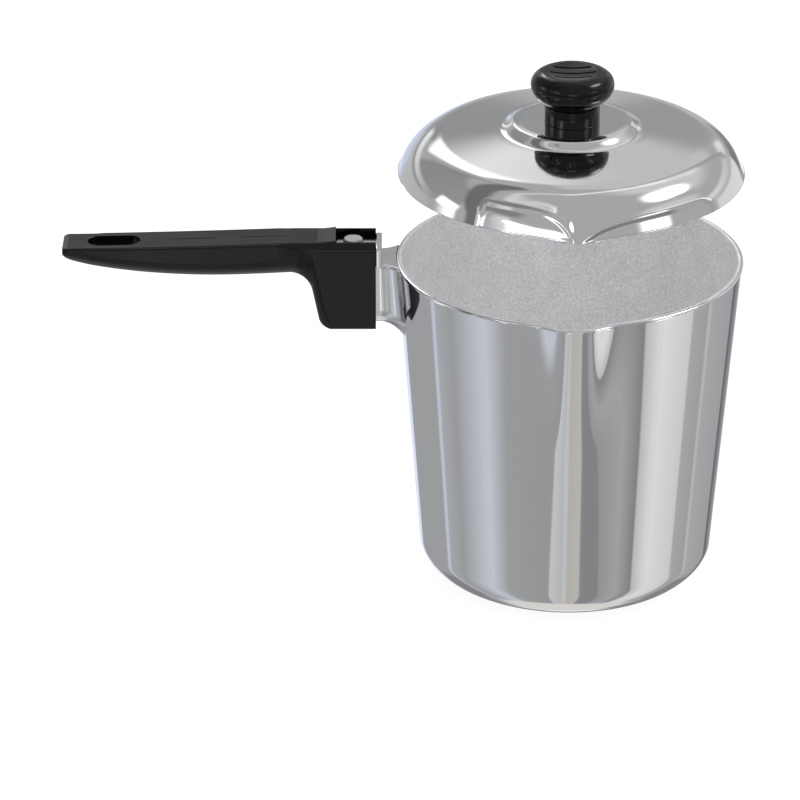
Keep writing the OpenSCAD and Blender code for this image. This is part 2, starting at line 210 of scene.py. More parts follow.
def linear(hex_colour):
    """An sRGB hex colour as linear RGBA."""
    channels = np.array([int(hex_colour[i:i + 2], 16) for i in (0, 2, 4)]) / 255
    values = np.where(channels <= 0.04045, channels / 12.92, ((channels + 0.055) / 1.055) ** 2.4)
    return (*values.tolist(), 1.0)


def add(tree, kind, settings=None, **inputs):
    """Adds a node: settings are its properties, and inputs are values or sockets, by name or as i0, i1."""
    made = tree.nodes.new(kind)
    for key, value in (settings or {}).items():
        setattr(made, key, value)
    for key, value in inputs.items():
        names = [s.name for s in made.inputs]
        label = key.replace("_", " ")
        socket = made.inputs[names.index(label)] if label in names else made.inputs[int(key[1:])]
        if isinstance(value, bpy.types.NodeSocket):
            tree.links.new(value, socket)
        else:
            socket.default_value = value
    return made


def blank_material(name):
    """A material with an empty tree, its Principled shader and its output."""
    made = bpy.data.materials.new(name)
    made.use_nodes = True
    tree = made.node_tree
    tree.nodes.clear()
    shader = tree.nodes.new("ShaderNodeBsdfPrincipled")
    output = tree.nodes.new("ShaderNodeOutputMaterial")
    tree.links.new(shader.outputs["BSDF"], output.inputs["Surface"])
    return made, tree, shader


def object_place(tree, scale=(1, 1, 1), location=(0, 0, 0)):
    """Object coordinates through a Mapping node, so that a pattern is laid out in metres on the piece."""
    place = add(tree, "ShaderNodeTexCoord")
    return add(tree, "ShaderNodeMapping", Vector=place.outputs["Object"],
               Scale=scale, Location=location).outputs["Vector"]


# %% [markdown]
# ### Mirror-polished aluminium
#
# The pan's outside, the bracket and the lid are aluminium, buffed on soft wheels. Buffing leaves a
# bright mirror with faint upright marks, about 5 mm wide and seven times as long, and a slight
# waviness some 35 mm long. So the roughness is low and varies a little, and the bump is about a
# hundredth of a millimetre deep.

# %% Polished aluminium
def polished_aluminium(name, tint="ECEDEE", roughness=0.05):
    """Bright metal: upright marks vary the roughness, and long faint waves bend the mirror."""
    made, tree, shader = blank_material(name)
    shader.inputs["Base Color"].default_value = linear(tint)
    shader.inputs["Metallic"].default_value = 1
    upright = object_place(tree, (1, 1, 0.15))
    marks = add(tree, "ShaderNodeTexNoise", Vector=upright, Scale=0.18 * PER_MM, Detail=4.0)
    spread = add(tree, "ShaderNodeMapRange", i0=marks.outputs["Fac"], i1=0.3, i2=0.7,
                 i3=roughness * 0.75, i4=roughness * 1.35)
    tree.links.new(spread.outputs["Result"], shader.inputs["Roughness"])
    waves = add(tree, "ShaderNodeTexNoise", Vector=object_place(tree), Scale=0.028 * PER_MM, Detail=1.0)
    bump = add(tree, "ShaderNodeBump", Strength=0.03, Distance=0.4 * MM, Height=waves.outputs["Fac"])
    tree.links.new(bump.outputs["Normal"], shader.inputs["Normal"])
    return made


# %% [markdown]
# ### Blasted aluminium
#
# The inside is the same metal, left matte by blasting: a skin of tiny dents under a dull oxide, which
# scatters nearly all light evenly and sparkles a little. Such a skin is between bare metal and a pale
# paint, and the metallic value says so. The dents are about 0.3 mm, which would vanish at this
# distance, so the grain is drawn at about 1 mm. Faint patches some 17 mm across keep it from looking
# too even.

# %% Blasted aluminium
def blasted_aluminium(name):
    """Dull metal: grain and patches add up to mix two greys, and the same grain gives the dents."""
    made, tree, shader = blank_material(name)
    shader.inputs["Metallic"].default_value = 0.35
    shader.inputs["Roughness"].default_value = 0.7
    shader.inputs["Specular IOR Level"].default_value = 0.3
    place = object_place(tree)
    grain = add(tree, "ShaderNodeTexNoise", Vector=place, Scale=0.9 * PER_MM, Detail=3.0, Roughness=0.7)
    patches = add(tree, "ShaderNodeTexNoise", Vector=place, Scale=0.06 * PER_MM, Detail=2.0)
    mixed = add(tree, "ShaderNodeMath", {"operation": "MULTIPLY_ADD"},
                i0=patches.outputs["Fac"], i1=0.25, i2=grain.outputs["Fac"])
    ramp = add(tree, "ShaderNodeValToRGB", Fac=mixed.outputs["Value"])
    ramp.color_ramp.elements[0].position = 0.42
    ramp.color_ramp.elements[0].color = linear("C7C7C8")
    ramp.color_ramp.elements[1].position = 0.86
    ramp.color_ramp.elements[1].color = linear("F3F3F4")
    tree.links.new(ramp.outputs["Color"], shader.inputs["Base Color"])
    bump = add(tree, "ShaderNodeBump", Strength=0.35, Distance=0.4 * MM, Height=grain.outputs["Fac"])
    tree.links.new(bump.outputs["Normal"], shader.inputs["Normal"])
    return made


# %% [markdown]
# ### Moulded phenolic
#
# Handle and knob are black phenolic, a hard resin pressed in a heated steel mould. The knob's mould
# is polished, so the knob is glossy. The handle's mould is lightly grained, which spreads the light
# to a satin sheen with a fine pebble, and the thumb rest has a coarser grain that looks dark grey.
# The pebble is drawn at 0.7 mm, and soft clouds of about 20 mm keep the black from looking flat.

# %% Moulded phenolic
def moulded_phenolic(name, colour, roughness, pebble):
    """Dark resin: clouds mix two tones and vary the roughness, and a fine grain gives the pebble."""
    made, tree, shader = blank_material(name)
    shader.inputs["IOR"].default_value = 1.5
    shader.inputs["Specular IOR Level"].default_value = 0.36
    place = object_place(tree)
    cloud = add(tree, "ShaderNodeTexNoise", Vector=place, Scale=0.045 * PER_MM, Detail=3.0)
    ramp = add(tree, "ShaderNodeValToRGB", Fac=cloud.outputs["Fac"])
    ramp.color_ramp.elements[0].position = 0.35
    ramp.color_ramp.elements[0].color = linear(colour[0])
    ramp.color_ramp.elements[1].position = 0.65
    ramp.color_ramp.elements[1].color = linear(colour[1])
    tree.links.new(ramp.outputs["Color"], shader.inputs["Base Color"])
    spread = add(tree, "ShaderNodeMapRange", i0=cloud.outputs["Fac"], i1=0.3, i2=0.7,
                 i3=roughness * 0.85, i4=roughness * 1.15)
    tree.links.new(spread.outputs["Result"], shader.inputs["Roughness"])
    grain = add(tree, "ShaderNodeTexNoise", Vector=place, Scale=1.4 * PER_MM, Detail=2.0)
    bump = add(tree, "ShaderNodeBump", Strength=pebble, Distance=0.2 * MM, Height=grain.outputs["Fac"])
    tree.links.new(bump.outputs["Normal"], shader.inputs["Normal"])
    return made


# %% [markdown]
# ### Turned metal
#
# Nut, screws, washers and bush come off a lathe. The tool leaves fine rings round the axis, drawn here
# as waves of the distance from that axis. They are 0.6 mm apart, coarser than real ones, so that they
# show.

# %% Turned metal
def turned_metal(name, colour, roughness, centre_mm):
    """Plain metal whose bump is a wave of the distance from an upright axis through the centre."""
    made, tree, shader = blank_material(name)
    shader.inputs["Base Color"].default_value = linear(colour)
    shader.inputs["Metallic"].default_value = 1
    shader.inputs["Roughness"].default_value = roughness
    centre = tuple(-c * MM for c in centre_mm)
    place = object_place(tree, location=centre)
    rings = add(tree, "ShaderNodeTexWave", {"wave_type": "RINGS", "rings_direction": "Z"},
                Vector=place, Scale=0.52 * PER_MM, Distortion=0.4, Detail=1.0)
    bump = add(tree, "ShaderNodeBump", Strength=0.25, Distance=0.05 * MM, Height=rings.outputs["Fac"])
    tree.links.new(bump.outputs["Normal"], shader.inputs["Normal"])
    return made


# %% [markdown]
# Each finish is made once, under the name of its metal or resin. The lid is a little less bright than
# the pan, and the bracket, whose corners a buffing wheel reaches badly, is duller still. The rings of
# a turned piece run round its own axis: the nut's, or the pan's, on which the lid's screw stands.

# %% The finishes
bolt_x = (nut_low[0] + nut_high[0]) / 2
bolt_axis = (bolt_x, 0, 0)
pan_axis = (0, 0, 0)
black = ("030304", "050506")
pan_outside = polished_aluminium("mirror_polished_aluminium_pan")
lid_outside = polished_aluminium("mirror_polished_aluminium_lid", "E9EAEB", 0.06)
bracket_finish = polished_aluminium("buffed_aluminium_casting", "E4E5E6", 0.11)
pan_inside = blasted_aluminium("blasted_aluminium_inside")
grip_finish = moulded_phenolic("satin_moulded_phenolic", black, 0.2, 0.1)
rest_finish = moulded_phenolic("grained_phenolic_rest", ("222223", "2C2C2D"), 0.5, 0.6)
knob_finish = moulded_phenolic("gloss_moulded_phenolic", black, 0.14, 0.01)
nut_finish = turned_metal("turned_nickel_plated_steel", "C8C8C9", 0.45, bolt_axis)
screw_finish = turned_metal("zinc_plated_steel", "A9ABAE", 0.3, bolt_axis)
centre_screw_finish = turned_metal("zinc_plated_steel_centre", "A9ABAE", 0.3, pan_axis)
bush_finish = turned_metal("turned_brass", "C9A35A", 0.28, pan_axis)
print("materials:", [m.name for m in bpy.data.materials])

# %% [markdown]
# ## The pouring lips
#
# A lip is pressed out of the round wall by a block with a nearly flat nose, so it has a flat middle
# between two steep, rounded flanks. Here the whole pan is one grid, angle by height, and each point is
# pushed outwards by a curve of its sideways distance s from the lip's middle. The fourth power in it
# keeps the nose flat. The push is full at the rim and fades down the wall to a faint ridge. Both lips
# lie on the Y axis, so s is the point's own x. The columns crowd together at the lips, where the form
# turns fastest.

# %% Lip formulas
lip_half_w = 13.2
lip_depth = 70.0
lip_power = 1.35
ridge_share = 0.12
crowding = 0.35

even = np.linspace(0, 2 * np.pi, 480, endpoint=False)
ring_angles = even + crowding * np.sin(2 * even)
sideways = rim_r * np.cos(ring_angles)


def lip_push(s):
    """reach / (1 + (s / half width)^4): half of the reach is left at the half width."""
    return lip_reach / (1 + (s / lip_half_w) ** 4)


def wall_r(z):
    """The tapered wall's outer radius, which grows in a straight line from the base to the rim."""
    return base_r + (rim_r - base_r) * z / pan_h


def lip_left(z):
    """The share of the lip's push at a height: a power curve below the rim over a faint ridge."""
    near_rim = np.clip(1 - (pan_h - z) / lip_depth, 0, 1) ** lip_power
    return near_rim * (1 - ridge_share) + smooth(z / pan_h) * ridge_share


def ring_points(profile, push):
    """Each row of the profile as a ring: x and y from its radius plus the push there, z from its height."""
    radius = profile[:, :1] + push
    height = np.broadcast_to(profile[:, 1:], radius.shape)
    return np.stack([radius * np.cos(ring_angles), radius * np.sin(ring_angles), height], -1)


print(f"push in the lip's middle {lip_push(0):.1f} mm, at its half width {lip_push(lip_half_w):.1f} mm")

# %% [markdown]
# ## The pan
#
# The profile starts in the middle of the base, runs out, up the tapered wall, over the rim's rounded
# land and down the inside to the middle of the floor. The middle of the base and of the floor are
# single points with a fan of triangles round them. The outside and its rounded edge are mirror bright,
# and the rim's land and the inside are blasted.

# %% Pan surface
taper = math.degrees(math.atan((rim_r - base_r) / pan_h))
corner_x = wall_r(corner_r) - corner_r / math.cos(math.radians(taper))
inner_corner_r = corner_r - wall_t
inner_corner_z = floor_t + inner_corner_r + 1.5
middle_r = corner_x * 0.2
fade_z = pan_h - lip_depth
rim_break = 0.3

outside = chain(
    line((middle_r, 0), (corner_x, 0), 6),
    arc((corner_x, corner_r), (corner_r, corner_r), -90, -taper, 16),
    line((wall_r(corner_r), corner_r), (wall_r(fade_z), fade_z), 12),
    line((wall_r(fade_z), fade_z), (wall_r(pan_h - rim_round), pan_h - rim_round), 36),
    corner((wall_r(fade_z), fade_z), (rim_r, pan_h), (0, pan_h), rim_round, 8),
)
inside = chain(
    line((rim_r - rim_round, pan_h), (rim_r - wall_t + rim_break, pan_h), 2),
    corner((rim_r, pan_h), (rim_r - wall_t, pan_h), (rim_r - wall_t, 0), rim_break, 3),
    line((rim_r - wall_t, pan_h - rim_break), (wall_r(fade_z) - wall_t, fade_z), 30),
    line((wall_r(fade_z) - wall_t, fade_z), (wall_r(inner_corner_z) - wall_t, inner_corner_z), 12),
    arc((corner_x, floor_t + inner_corner_r), (inner_corner_r, inner_corner_r), -taper, -90, 14),
    line((corner_x, floor_t), (middle_r, floor_t), 6),
)
pan_profile = chain(outside, inside)
pan_push = lip_left(pan_profile[:, 1:]) * lip_push(sideways)
pan_grid = ring_points(pan_profile, pan_push)
bands, around = len(pan_profile) - 1, len(ring_angles)
is_inside = np.repeat(np.arange(bands) >= len(outside) - 1, around)
pan = build_closed("pan_body", pan_grid, [[0, 0, 0], [0, 0, floor_t]],
                   [is_inside, np.zeros(around), np.ones(around)])
pan.data.materials.append(pan_outside)
pan.data.materials.append(pan_inside)
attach(pan, "pan")
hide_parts("pan_shell")

# %% [markdown]
# ## The lid
#
# The lid is pressed from one sheet. From the middle it has a flat, a soft step down, a shallow cone, a
# shoulder and a steep skirt. The shoulder is one arc that leaves the cone and runs into the skirt
# without a kink, and its radius follows from the height that is left. The inside is the same curve
# moved inwards by the sheet's thickness, and a rib below the edge drops into the pan.

# %% Lid profile
lid_t = 2.2
rib_reach = 1.5
lid_edge_z = lid_low[2] + rib_reach
lid_h = lid_high[2] - lid_edge_z
plateau_r = 29.3
step_r = 37.2
step_h = 3.9
step_top_power = 1.35
step_foot_power = 2.2
cone_slope = math.radians(7)
shoulder_r = 64.0
skirt_slope = math.radians(67)
screw_hole_r = 2.6
lid_inset = 0.9
lid_r = rim_r - lid_inset

step_foot = lid_h - step_h
shoulder_z = step_foot - (shoulder_r - step_r) * math.tan(cone_slope)
turn_r = math.sin(skirt_slope) - math.sin(cone_slope)
turn_z = math.cos(cone_slope) - math.cos(skirt_slope)
arc_r = ((lid_r - shoulder_r) * math.sin(skirt_slope) - shoulder_z * math.cos(skirt_slope)) \
    / (turn_r * math.sin(skirt_slope) - turn_z * math.cos(skirt_slope))


def lid_curve(inwards, flat_n, step_n, cone_n, arc_n, skirt_n):
    """Flat, S-shaped step, cone, arc and skirt: the curve moved inwards along its normal, and unmoved."""
    flat = line((screw_hole_r, lid_h), (plateau_r, lid_h), flat_n)
    t = np.linspace(0, 1, step_n + 1)
    fallen = 1 - (1 - t ** step_top_power) ** step_foot_power
    step = np.stack([plateau_r + (step_r - plateau_r) * t, lid_h - step_h * fallen], -1)
    cone = line((step_r, step_foot), (shoulder_r, shoulder_z), cone_n)
    a = np.linspace(cone_slope, skirt_slope, arc_n + 1)
    shoulder = np.stack([shoulder_r + arc_r * (np.sin(a) - math.sin(cone_slope)),
                         shoulder_z - arc_r * (math.cos(cone_slope) - np.cos(a))], -1)
    points = chain(flat, step, cone, shoulder, line(shoulder[-1], (lid_r, 0), skirt_n))
    along = np.gradient(points, axis=0)
    along /= np.linalg.norm(along, axis=1, keepdims=True)
    return points + inwards * np.stack([along[:, 1], -along[:, 0]], -1), points


outer_curve = lid_curve(0, 6, 16, 8, 88, 14)[0]
inner_curve, outer_partner = lid_curve(lid_t, 3, 8, 4, 30, 8)
print(f"lid {2 * lid_r:.1f} mm across, {lid_h:.1f} mm high, its shoulder an arc of {arc_r:.1f} mm")

# %% [markdown]
# The tips are another form than the lips. Each is a beak: the edge comes to a point, and a flat facet
# slopes down to it from the shoulder. The facet ends in two ridges that run up from the point to both
# sides, and below them the beak has two upright cheeks. So the push of a tip is a product. The first
# part is its outline at the edge, two falling curves that meet at the point. The second says how much
# of it is left at a height: all of it below the ridge, and above the ridge a power curve that leaves
# the shoulder without a kink. The cheeks are pressed in by up to 0.8 mm, which makes the ridge a crisp
# crest. The hollow fades out at the point, at the edge and at each cheek's far end. The left ridge is
# the higher and steeper one, as in the picture, and the nose above the point grows rounder upwards.

# %% Tip formulas
tip_reach = 8.5
tip_fall = 14.0
tip_blunt = 1.5
nose_from_z = 2.0
nose_rounding = 0.6
nose_h = 12.0
facet_h = 16.0
tip_power = 1.7
crest_power = 12
ridge_h = np.array([12.8, 8.8])
ridge_fall = np.array([6.0, 11.0])
ridge_dip = 0.85
ridge_soft = 2.0
change_w = 8.0
hollow = 0.8
hollow_run = 3.6
hollow_edge = 1.0
cheek_ends = (-49.5, 70.0)
end_runs = (3.0, 12.0)
nose_half_w = 3.0


def tip_push(s, z):
    """reach * exp(-(sqrt(s^2 + b^2) - blunt) / fall). At the edge b is blunt, and higher up it grows."""
    b = tip_blunt + nose_rounding * np.clip(z - nose_from_z, 0, nose_h)
    return tip_reach * np.exp((tip_blunt - np.hypot(s, b)) / tip_fall)


def ridge_z(s):
    """Height of the ridge over the edge: h (1 - dip exp(-|s| / fall)), with an h and fall for each side."""
    right = smooth(s / change_w + 0.5)
    h = ridge_h[0] + (ridge_h[1] - ridge_h[0]) * right
    fall = ridge_fall[0] + (ridge_fall[1] - ridge_fall[0]) * right
    return h * (1 - ridge_dip * np.exp((ridge_soft - np.hypot(s, ridge_soft)) / fall))


def tip_left(s, z):
    """The share of the tip left at a height: t^power from the facet's top, held at 1 below the ridge."""
    t = np.clip(facet_h - z, 0, None) / (facet_h - ridge_z(s))
    return t ** tip_power / (1 + t ** crest_power) ** (tip_power / crest_power)


def cheek_hollow(s, z):
    """How far a cheek is pressed in: a product of S-curves, and of 1 - exp(-(s / nose)^2) for the nose."""
    below = smooth((ridge_z(s) - z) / hollow_run)
    beside = smooth((s - cheek_ends[0]) / end_runs[0]) * smooth((cheek_ends[1] - s) / end_runs[1])
    above_edge = smooth(z / hollow_edge + 0.5)
    return hollow * below * beside * above_edge * (1 - np.exp(-(s / nose_half_w) ** 2))


print("ridge heights at the point and 20 mm to both sides:", ridge_z(np.array([0, -20, 20])).round(1))

# %% [markdown]
# The lid's profile becomes a closed loop: out along the top, round the edge, down and up the rib, and
# back along the inside to the screw hole. The rib's rows have the pan's push, because the rib drops
# into the pan's lips. The inside keeps the push of the outside above it, so the sheet stays even.

# %% Lid surface
edge_r = 0.4
rib_edge_r = 0.5
rib_top = 1.2
locate_r = rim_r - wall_t - slide_gap
top_run = chain(outer_curve[:-1], arc((lid_r - edge_r, edge_r), (edge_r, edge_r), 0, -90, 4))
rib_run = chain(
    line((lid_r - edge_r, 0), (locate_r, 0), 2),
    line((locate_r, 0), (locate_r, rib_edge_r - rib_reach), 2),
    arc((locate_r - rib_edge_r, rib_edge_r - rib_reach), (rib_edge_r, rib_edge_r), 0, -90, 3),
    line((locate_r - rib_edge_r, -rib_reach), (locate_r - lid_t, -rib_reach), 2),
)
above_rib = inner_curve[:, 1] > rib_top
back_run = inner_curve[above_rib][::-1]
lid_rows = np.concatenate([top_run, rib_run[1:], back_run])
outer_z = np.concatenate([top_run[:, 1], 0 * rib_run[1:, 1], outer_partner[above_rib][::-1, 1]])[:, None]
on_rib = np.zeros((len(lid_rows), 1), bool)
on_rib[len(top_run):-len(back_run), 0] = rib_run[1:, 0] < locate_r + hair
tip_form = tip_push(sideways, outer_z) * tip_left(sideways, outer_z) - cheek_hollow(sideways, outer_z)
lid_push = np.where(on_rib, lip_push(sideways), tip_form)
lid_grid = ring_points(lid_rows, lid_push) + [0, 0, lid_edge_z]
lid = build("lid_body", lid_grid, [grid_faces(len(lid_rows), len(ring_angles), wrap_rows=True)])
lid.data.materials.append(lid_outside)
lid.data.set_sharp_from_angle(angle=math.radians(50))
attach(lid, "lid")
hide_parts("lid_shell")

# %% [markdown]
# ## Cutting one closed mesh with another
#
# Slots, bores and pockets are cut as a maker cuts them: a tool body is subtracted. Blender's exact
# Boolean does it, and the result is written back as a plain mesh, so that nothing live is left on the
# piece. Edges sharper than a set angle stay crisp, and the rest is shaded smooth.

# %% Boolean helpers
def turned(name, profile, sides=96, centre=(0, 0)):
    """A profile turned round a vertical axis. Its first and last rows lie on the axis and become points."""
    angles = np.linspace(0, 2 * np.pi, sides, endpoint=False)
    body = profile[1:-1]
    x = centre[0] + body[:, :1] * np.cos(angles)
    y = centre[1] + body[:, :1] * np.sin(angles)
    z = np.broadcast_to(body[:, 1:], x.shape)
    return build_closed(name, np.stack([x, y, z], -1), [[*centre, profile[0, 1]], [*centre, profile[-1, 1]]])


def post(name, centre, radius, low, high):
    """A plain round cutter between two heights."""
    profile = np.array([[0, low], [radius, low], [radius, high], [0, high]], float)
    return turned(name, profile, centre=centre)


BOX_FACES = np.array([[0, 1, 3, 2], [4, 6, 7, 5], [0, 4, 5, 1], [2, 3, 7, 6], [0, 2, 6, 4], [1, 5, 7, 3]])


def block(name, low, high, edge=0.0):
    """A box between two corners, with its edges rounded by edge."""
    corners = np.stack(np.meshgrid(*zip(low, high), indexing="ij"), -1)
    made = build(name, corners, [BOX_FACES])
    if edge:
        round_edges(made, edge)
    return made


def obround(name, near, far, radius, low, high, soft, centre_y=0.0):
    """A cutter with two round ends. It widens by soft at the surface, whose height is high(x)."""
    angles = np.radians(np.linspace(-90, 90, 33))
    half_turn = np.stack([np.cos(angles), np.sin(angles)], -1)
    out = np.concatenate([half_turn, -half_turn])
    core = np.repeat([[far - radius, centre_y], [near + radius, centre_y]], len(angles), axis=0)
    plain = core + out * radius
    wide = core + out * (radius + soft)
    top = high(plain[:, 0]) + hair
    over = top + 3
    rings = [(plain, np.full(len(plain), low)), (plain, top - soft), (wide, top), (wide, over)]
    middle = [(near + far) / 2, centre_y]
    return build_closed(name, np.stack([np.column_stack(ring) for ring in rings]),
                        [[*middle, low], [*middle, over.mean()]])


def round_edges(piece, width, angle=40, segments=3):
    """A bevel of the edges sharper than an angle, written into the mesh."""
    bevel = piece.modifiers.new("round", "BEVEL")
    bevel.width = width * MM
    bevel.segments = segments
    bevel.limit_method = "ANGLE"
    bevel.angle_limit = math.radians(angle)
    write_back(piece)


def write_back(piece):
    """Replaces a piece's mesh with what its modifiers make of it, and takes the modifiers off."""
    graph = bpy.context.evaluated_depsgraph_get()
    mesh = bpy.data.meshes.new_from_object(piece.evaluated_get(graph))
    piece.modifiers.clear()
    piece.data = mesh


def combine(piece, tools, operation):
    """Adds or cuts tool bodies, one after another, and removes them."""
    for tool in tools:
        step = piece.modifiers.new(tool.name, "BOOLEAN")
        step.operation = operation
        step.solver = "EXACT"
        step.object = tool
    write_back(piece)
    for tool in tools:
        bpy.data.objects.remove(tool)


def crisp(piece, angle):
    """Smooth shading that breaks at edges sharper than an angle, with the large faces kept flat."""
    piece.data.polygons.foreach_set("use_smooth", np.ones(len(piece.data.polygons), bool))
    piece.data.set_sharp_from_angle(angle=math.radians(angle))
    weigh = piece.modifiers.new("weigh", "WEIGHTED_NORMAL")
    weigh.keep_sharp = True
    write_back(piece)


# %% [markdown]
# ## The knob
#
# The knob is one turned shape with a stem, a waist and a head whose lower half is a soft power curve
# and whose upper half is a quarter of an ellipse. The top is a shallow dish, a piece of a large
# sphere, and three grooves are cut across it.

# %% Knob
stem_r = 13.9
head_r = knob_high[0]
knob_z = knob_low[2]
knob_h = knob_high[2] - knob_z
dish_r = 13.2
dish_depth = 1.4
head_z = 0.74 * knob_h
neck_z = 0.36 * knob_h
bush_r = 4.52
bush_l = 14.0
groove_w = 1.5
groove_pitch = 6.8
groove_deep = 0.8
groove_in = 2.2
groove_soft = 0.25
under_power = 1.8
foot_r = 0.4

bulge = head_r - dish_r
a = np.radians(np.linspace(-80, 0, 30))
under_head = np.stack([dish_r + bulge * np.cos(a) ** under_power,
                       head_z + (head_z - neck_z) * np.sin(a)], -1)
over_head = arc((dish_r, head_z), (bulge, knob_h - head_z), 0, 88, 26)
dish_x = np.linspace(dish_r - 0.25, 0, 20)
dish_curve = (dish_r ** 2 + dish_depth ** 2) / (2 * dish_depth)
dish = np.stack([dish_x, knob_h - dish_depth + dish_curve - np.sqrt(dish_curve ** 2 - dish_x ** 2)], -1)
waist = np.array([[stem_r, neck_z - 1.4], [stem_r - 0.25, neck_z - 0.9], [stem_r - 0.7, neck_z - 0.5]])
knob_profile = chain(
    [[0, bush_l], [bush_r, bush_l], [bush_r, 0]],
    line((bush_r, 0), (stem_r - foot_r, 0), 3),
    arc((stem_r - foot_r, foot_r), (foot_r, foot_r), -90, 0, 4),
    waist, under_head, over_head[1:], dish,
)
knob = turned("knob_body", knob_profile + [0, knob_z], 192)
dish_floor = knob_z + knob_h - dish_depth


def dish_z(x):
    """Height of the dish's surface: nearly x^2 / (2 radius) over its floor."""
    return dish_floor + x ** 2 / (2 * dish_curve)


cutters = []
for row in (-1, 0, 1):
    half_l = math.sqrt((dish_r - groove_in) ** 2 - (row * groove_pitch) ** 2) + groove_w / 2
    cutters.append(obround(f"groove_{row + 1}", -half_l, half_l, groove_w / 2, dish_floor - groove_deep,
                           dish_z, groove_soft, row * groove_pitch))
combine(knob, cutters, "DIFFERENCE")
crisp(knob, 28)
knob.data.materials.clear()
knob.data.materials.append(knob_finish)
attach(knob, "lid")
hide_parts("lid_knob")

# %% [markdown]
# ## The handle's nut
#
# The nut is a barrel with a plain round head. Its head has a small chamfer, which catches the light as
# a thin ring, and a threaded hole from below that stops short of the head.

# %% Nut
plate_up = 8.3
rib_h = 3.1
tang_top = pan_h + plate_up - rib_h
barrel_r = 3.5
thread_r = 2.2
thread_top = nut_low[2] + 18
nut_head_r = (nut_high[0] - nut_low[0]) / 2
chamfer = 0.4
nut_profile = np.array([
    [0, thread_top], [thread_r, thread_top], [thread_r, nut_low[2]], [barrel_r, nut_low[2]],
    [barrel_r, tang_top + hair], [nut_head_r, tang_top + hair], [nut_head_r, nut_high[2] - chamfer],
    [nut_head_r - chamfer, nut_high[2]], [0, nut_high[2]],
])
nut = turned("nut_body", nut_profile, 96, (bolt_x, 0))
crisp(nut, 28)
nut.data.materials.append(nut_finish)
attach(nut, "pan")
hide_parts("handle_nut")

# %% [markdown]
# ## The bracket
#
# The bracket is cast onto the pan and buffed with it. Its neck is a section carried from the stop
# plate to the wall, and it flares as it comes near. Each long line of that skin ends where it meets
# the wall's cone: the crossing is found on a fine grid, and the stations are spread up to it. The
# stop plate, the tang and the tang's rib are joined on, and the nut's hole is cut through.

# %% Bracket sizes
plate_x = rim_r + 10.2
plate_t = 3.1
plate_w = 24.2
plate_down = 1.7
neck_w = 24.0
neck_depth = 33.6
neck_bend = 9.0
neck_edge = 1.5
neck_even_l = 2.0
flare = 26.0
flare_depth = neck_depth + 11
flare_bend = 14.0
tang_l = 20.0
tang_w = 17.2
tang_down = 6.0
tang_root = 1.5
rib_w = 6.8
bore_r = 3.65
plate_edge = 0.6
tang_edge = 0.3
wall_near = math.sqrt(wall_r(pan_h - flare_depth) ** 2 - flare ** 2) - 1


def neck_ring(x):
    """Half widths and heights of the neck's section at distances x from the pan's axis."""
    flare_from = plate_x - neck_even_l
    t = np.clip((flare_from - x) / (flare_from - wall_near), 0, 1) ** 2
    w = neck_w / 2 + (flare - neck_w / 2) * t
    depth = neck_depth + (flare_depth - neck_depth) * t
    bend = neck_bend + (flare_bend - neck_bend) * t
    zero = np.zeros_like(w)
    middle, edge, low = (np.stack(pair, -1) for pair in ((zero, zero), (w, zero), (w, -depth)))
    top = corner(middle, edge, low, zero + neck_edge, 6)
    a = np.radians(np.linspace(0, 90, 13))
    low_y = (w - bend)[..., None] + bend[..., None] * np.cos(a)
    low_z = (bend - depth)[..., None] - bend[..., None] * np.sin(a)
    flat = np.linspace(0, 0.85, 6) * w[..., None]
    upper = np.stack([flat, np.zeros_like(flat)], -1)
    half = np.concatenate([upper, top, np.stack([low_y, low_z], -1)], axis=-2)
    other = half[..., :0:-1, :] * [-1, 1]
    return np.concatenate([half, other], axis=-2)


print(f"the neck flares from {neck_w} mm at the plate to {2 * flare} mm at the wall")

# %% Bracket surface
neck_start = plate_x - hair
fine = np.linspace(neck_start, wall_near, 600)
fine_ring = neck_ring(fine)
gap_to_wall = fine[:, None] - np.sqrt(wall_r(pan_h + fine_ring[..., 1]) ** 2 - fine_ring[..., 0] ** 2)
reach = fine[np.argmax(gap_to_wall < hair, axis=0)]
station_x = neck_start + (reach - neck_start) * np.linspace(0, 1, 60)[:, None] ** 0.8
column = np.arange(station_x.shape[1])
ring_at = neck_ring(station_x)[:, column, column]
neck_grid = np.stack([-station_x, ring_at[..., 0], pan_h + ring_at[..., 1]], -1)
# The end that lies on the wall is closed by ever smaller copies of the last ring
seat = neck_grid[-1, :, 1:]
seat_yz = seat.mean(0) + (seat - seat.mean(0)) * np.array([0.8, 0.6, 0.4, 0.2, 0.02])[:, None, None]
seat_x = -np.sqrt(wall_r(seat_yz[..., 1]) ** 2 - seat_yz[..., 0] ** 2) - hair
neck_grid = np.concatenate([neck_grid, np.concatenate([seat_x[..., None], seat_yz], -1)])
bracket = build_closed("bracket_body", neck_grid)
plate = block("plate", (-plate_x, -plate_w / 2, pan_h - plate_down),
              (-plate_x + plate_t, plate_w / 2, pan_h + plate_up), plate_edge)
tang = block("tang", (-plate_x - tang_l, -tang_w / 2, pan_h - tang_down),
             (-plate_x + tang_root, tang_w / 2, tang_top), tang_edge)
rib = block("rib", (-plate_x - tang_l, -rib_w / 2, tang_top - 1),
            (-plate_x + tang_root, rib_w / 2, tang_top + rib_h - hair), tang_edge)
combine(bracket, [plate, tang, rib], "UNION")
combine(bracket, [
    post("barrel_hole", (bolt_x, 0), bore_r, pan_h - tang_down - 2, tang_top + 1),
    post("head_hole", (bolt_x, 0), nut_head_r + slide_gap, tang_top, tang_top + rib_h + 2),
], "DIFFERENCE")
crisp(bracket, 35)
bracket.data.materials.clear()
bracket.data.materials.append(bracket_finish)
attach(bracket, "pan")
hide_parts("handle_bracket")

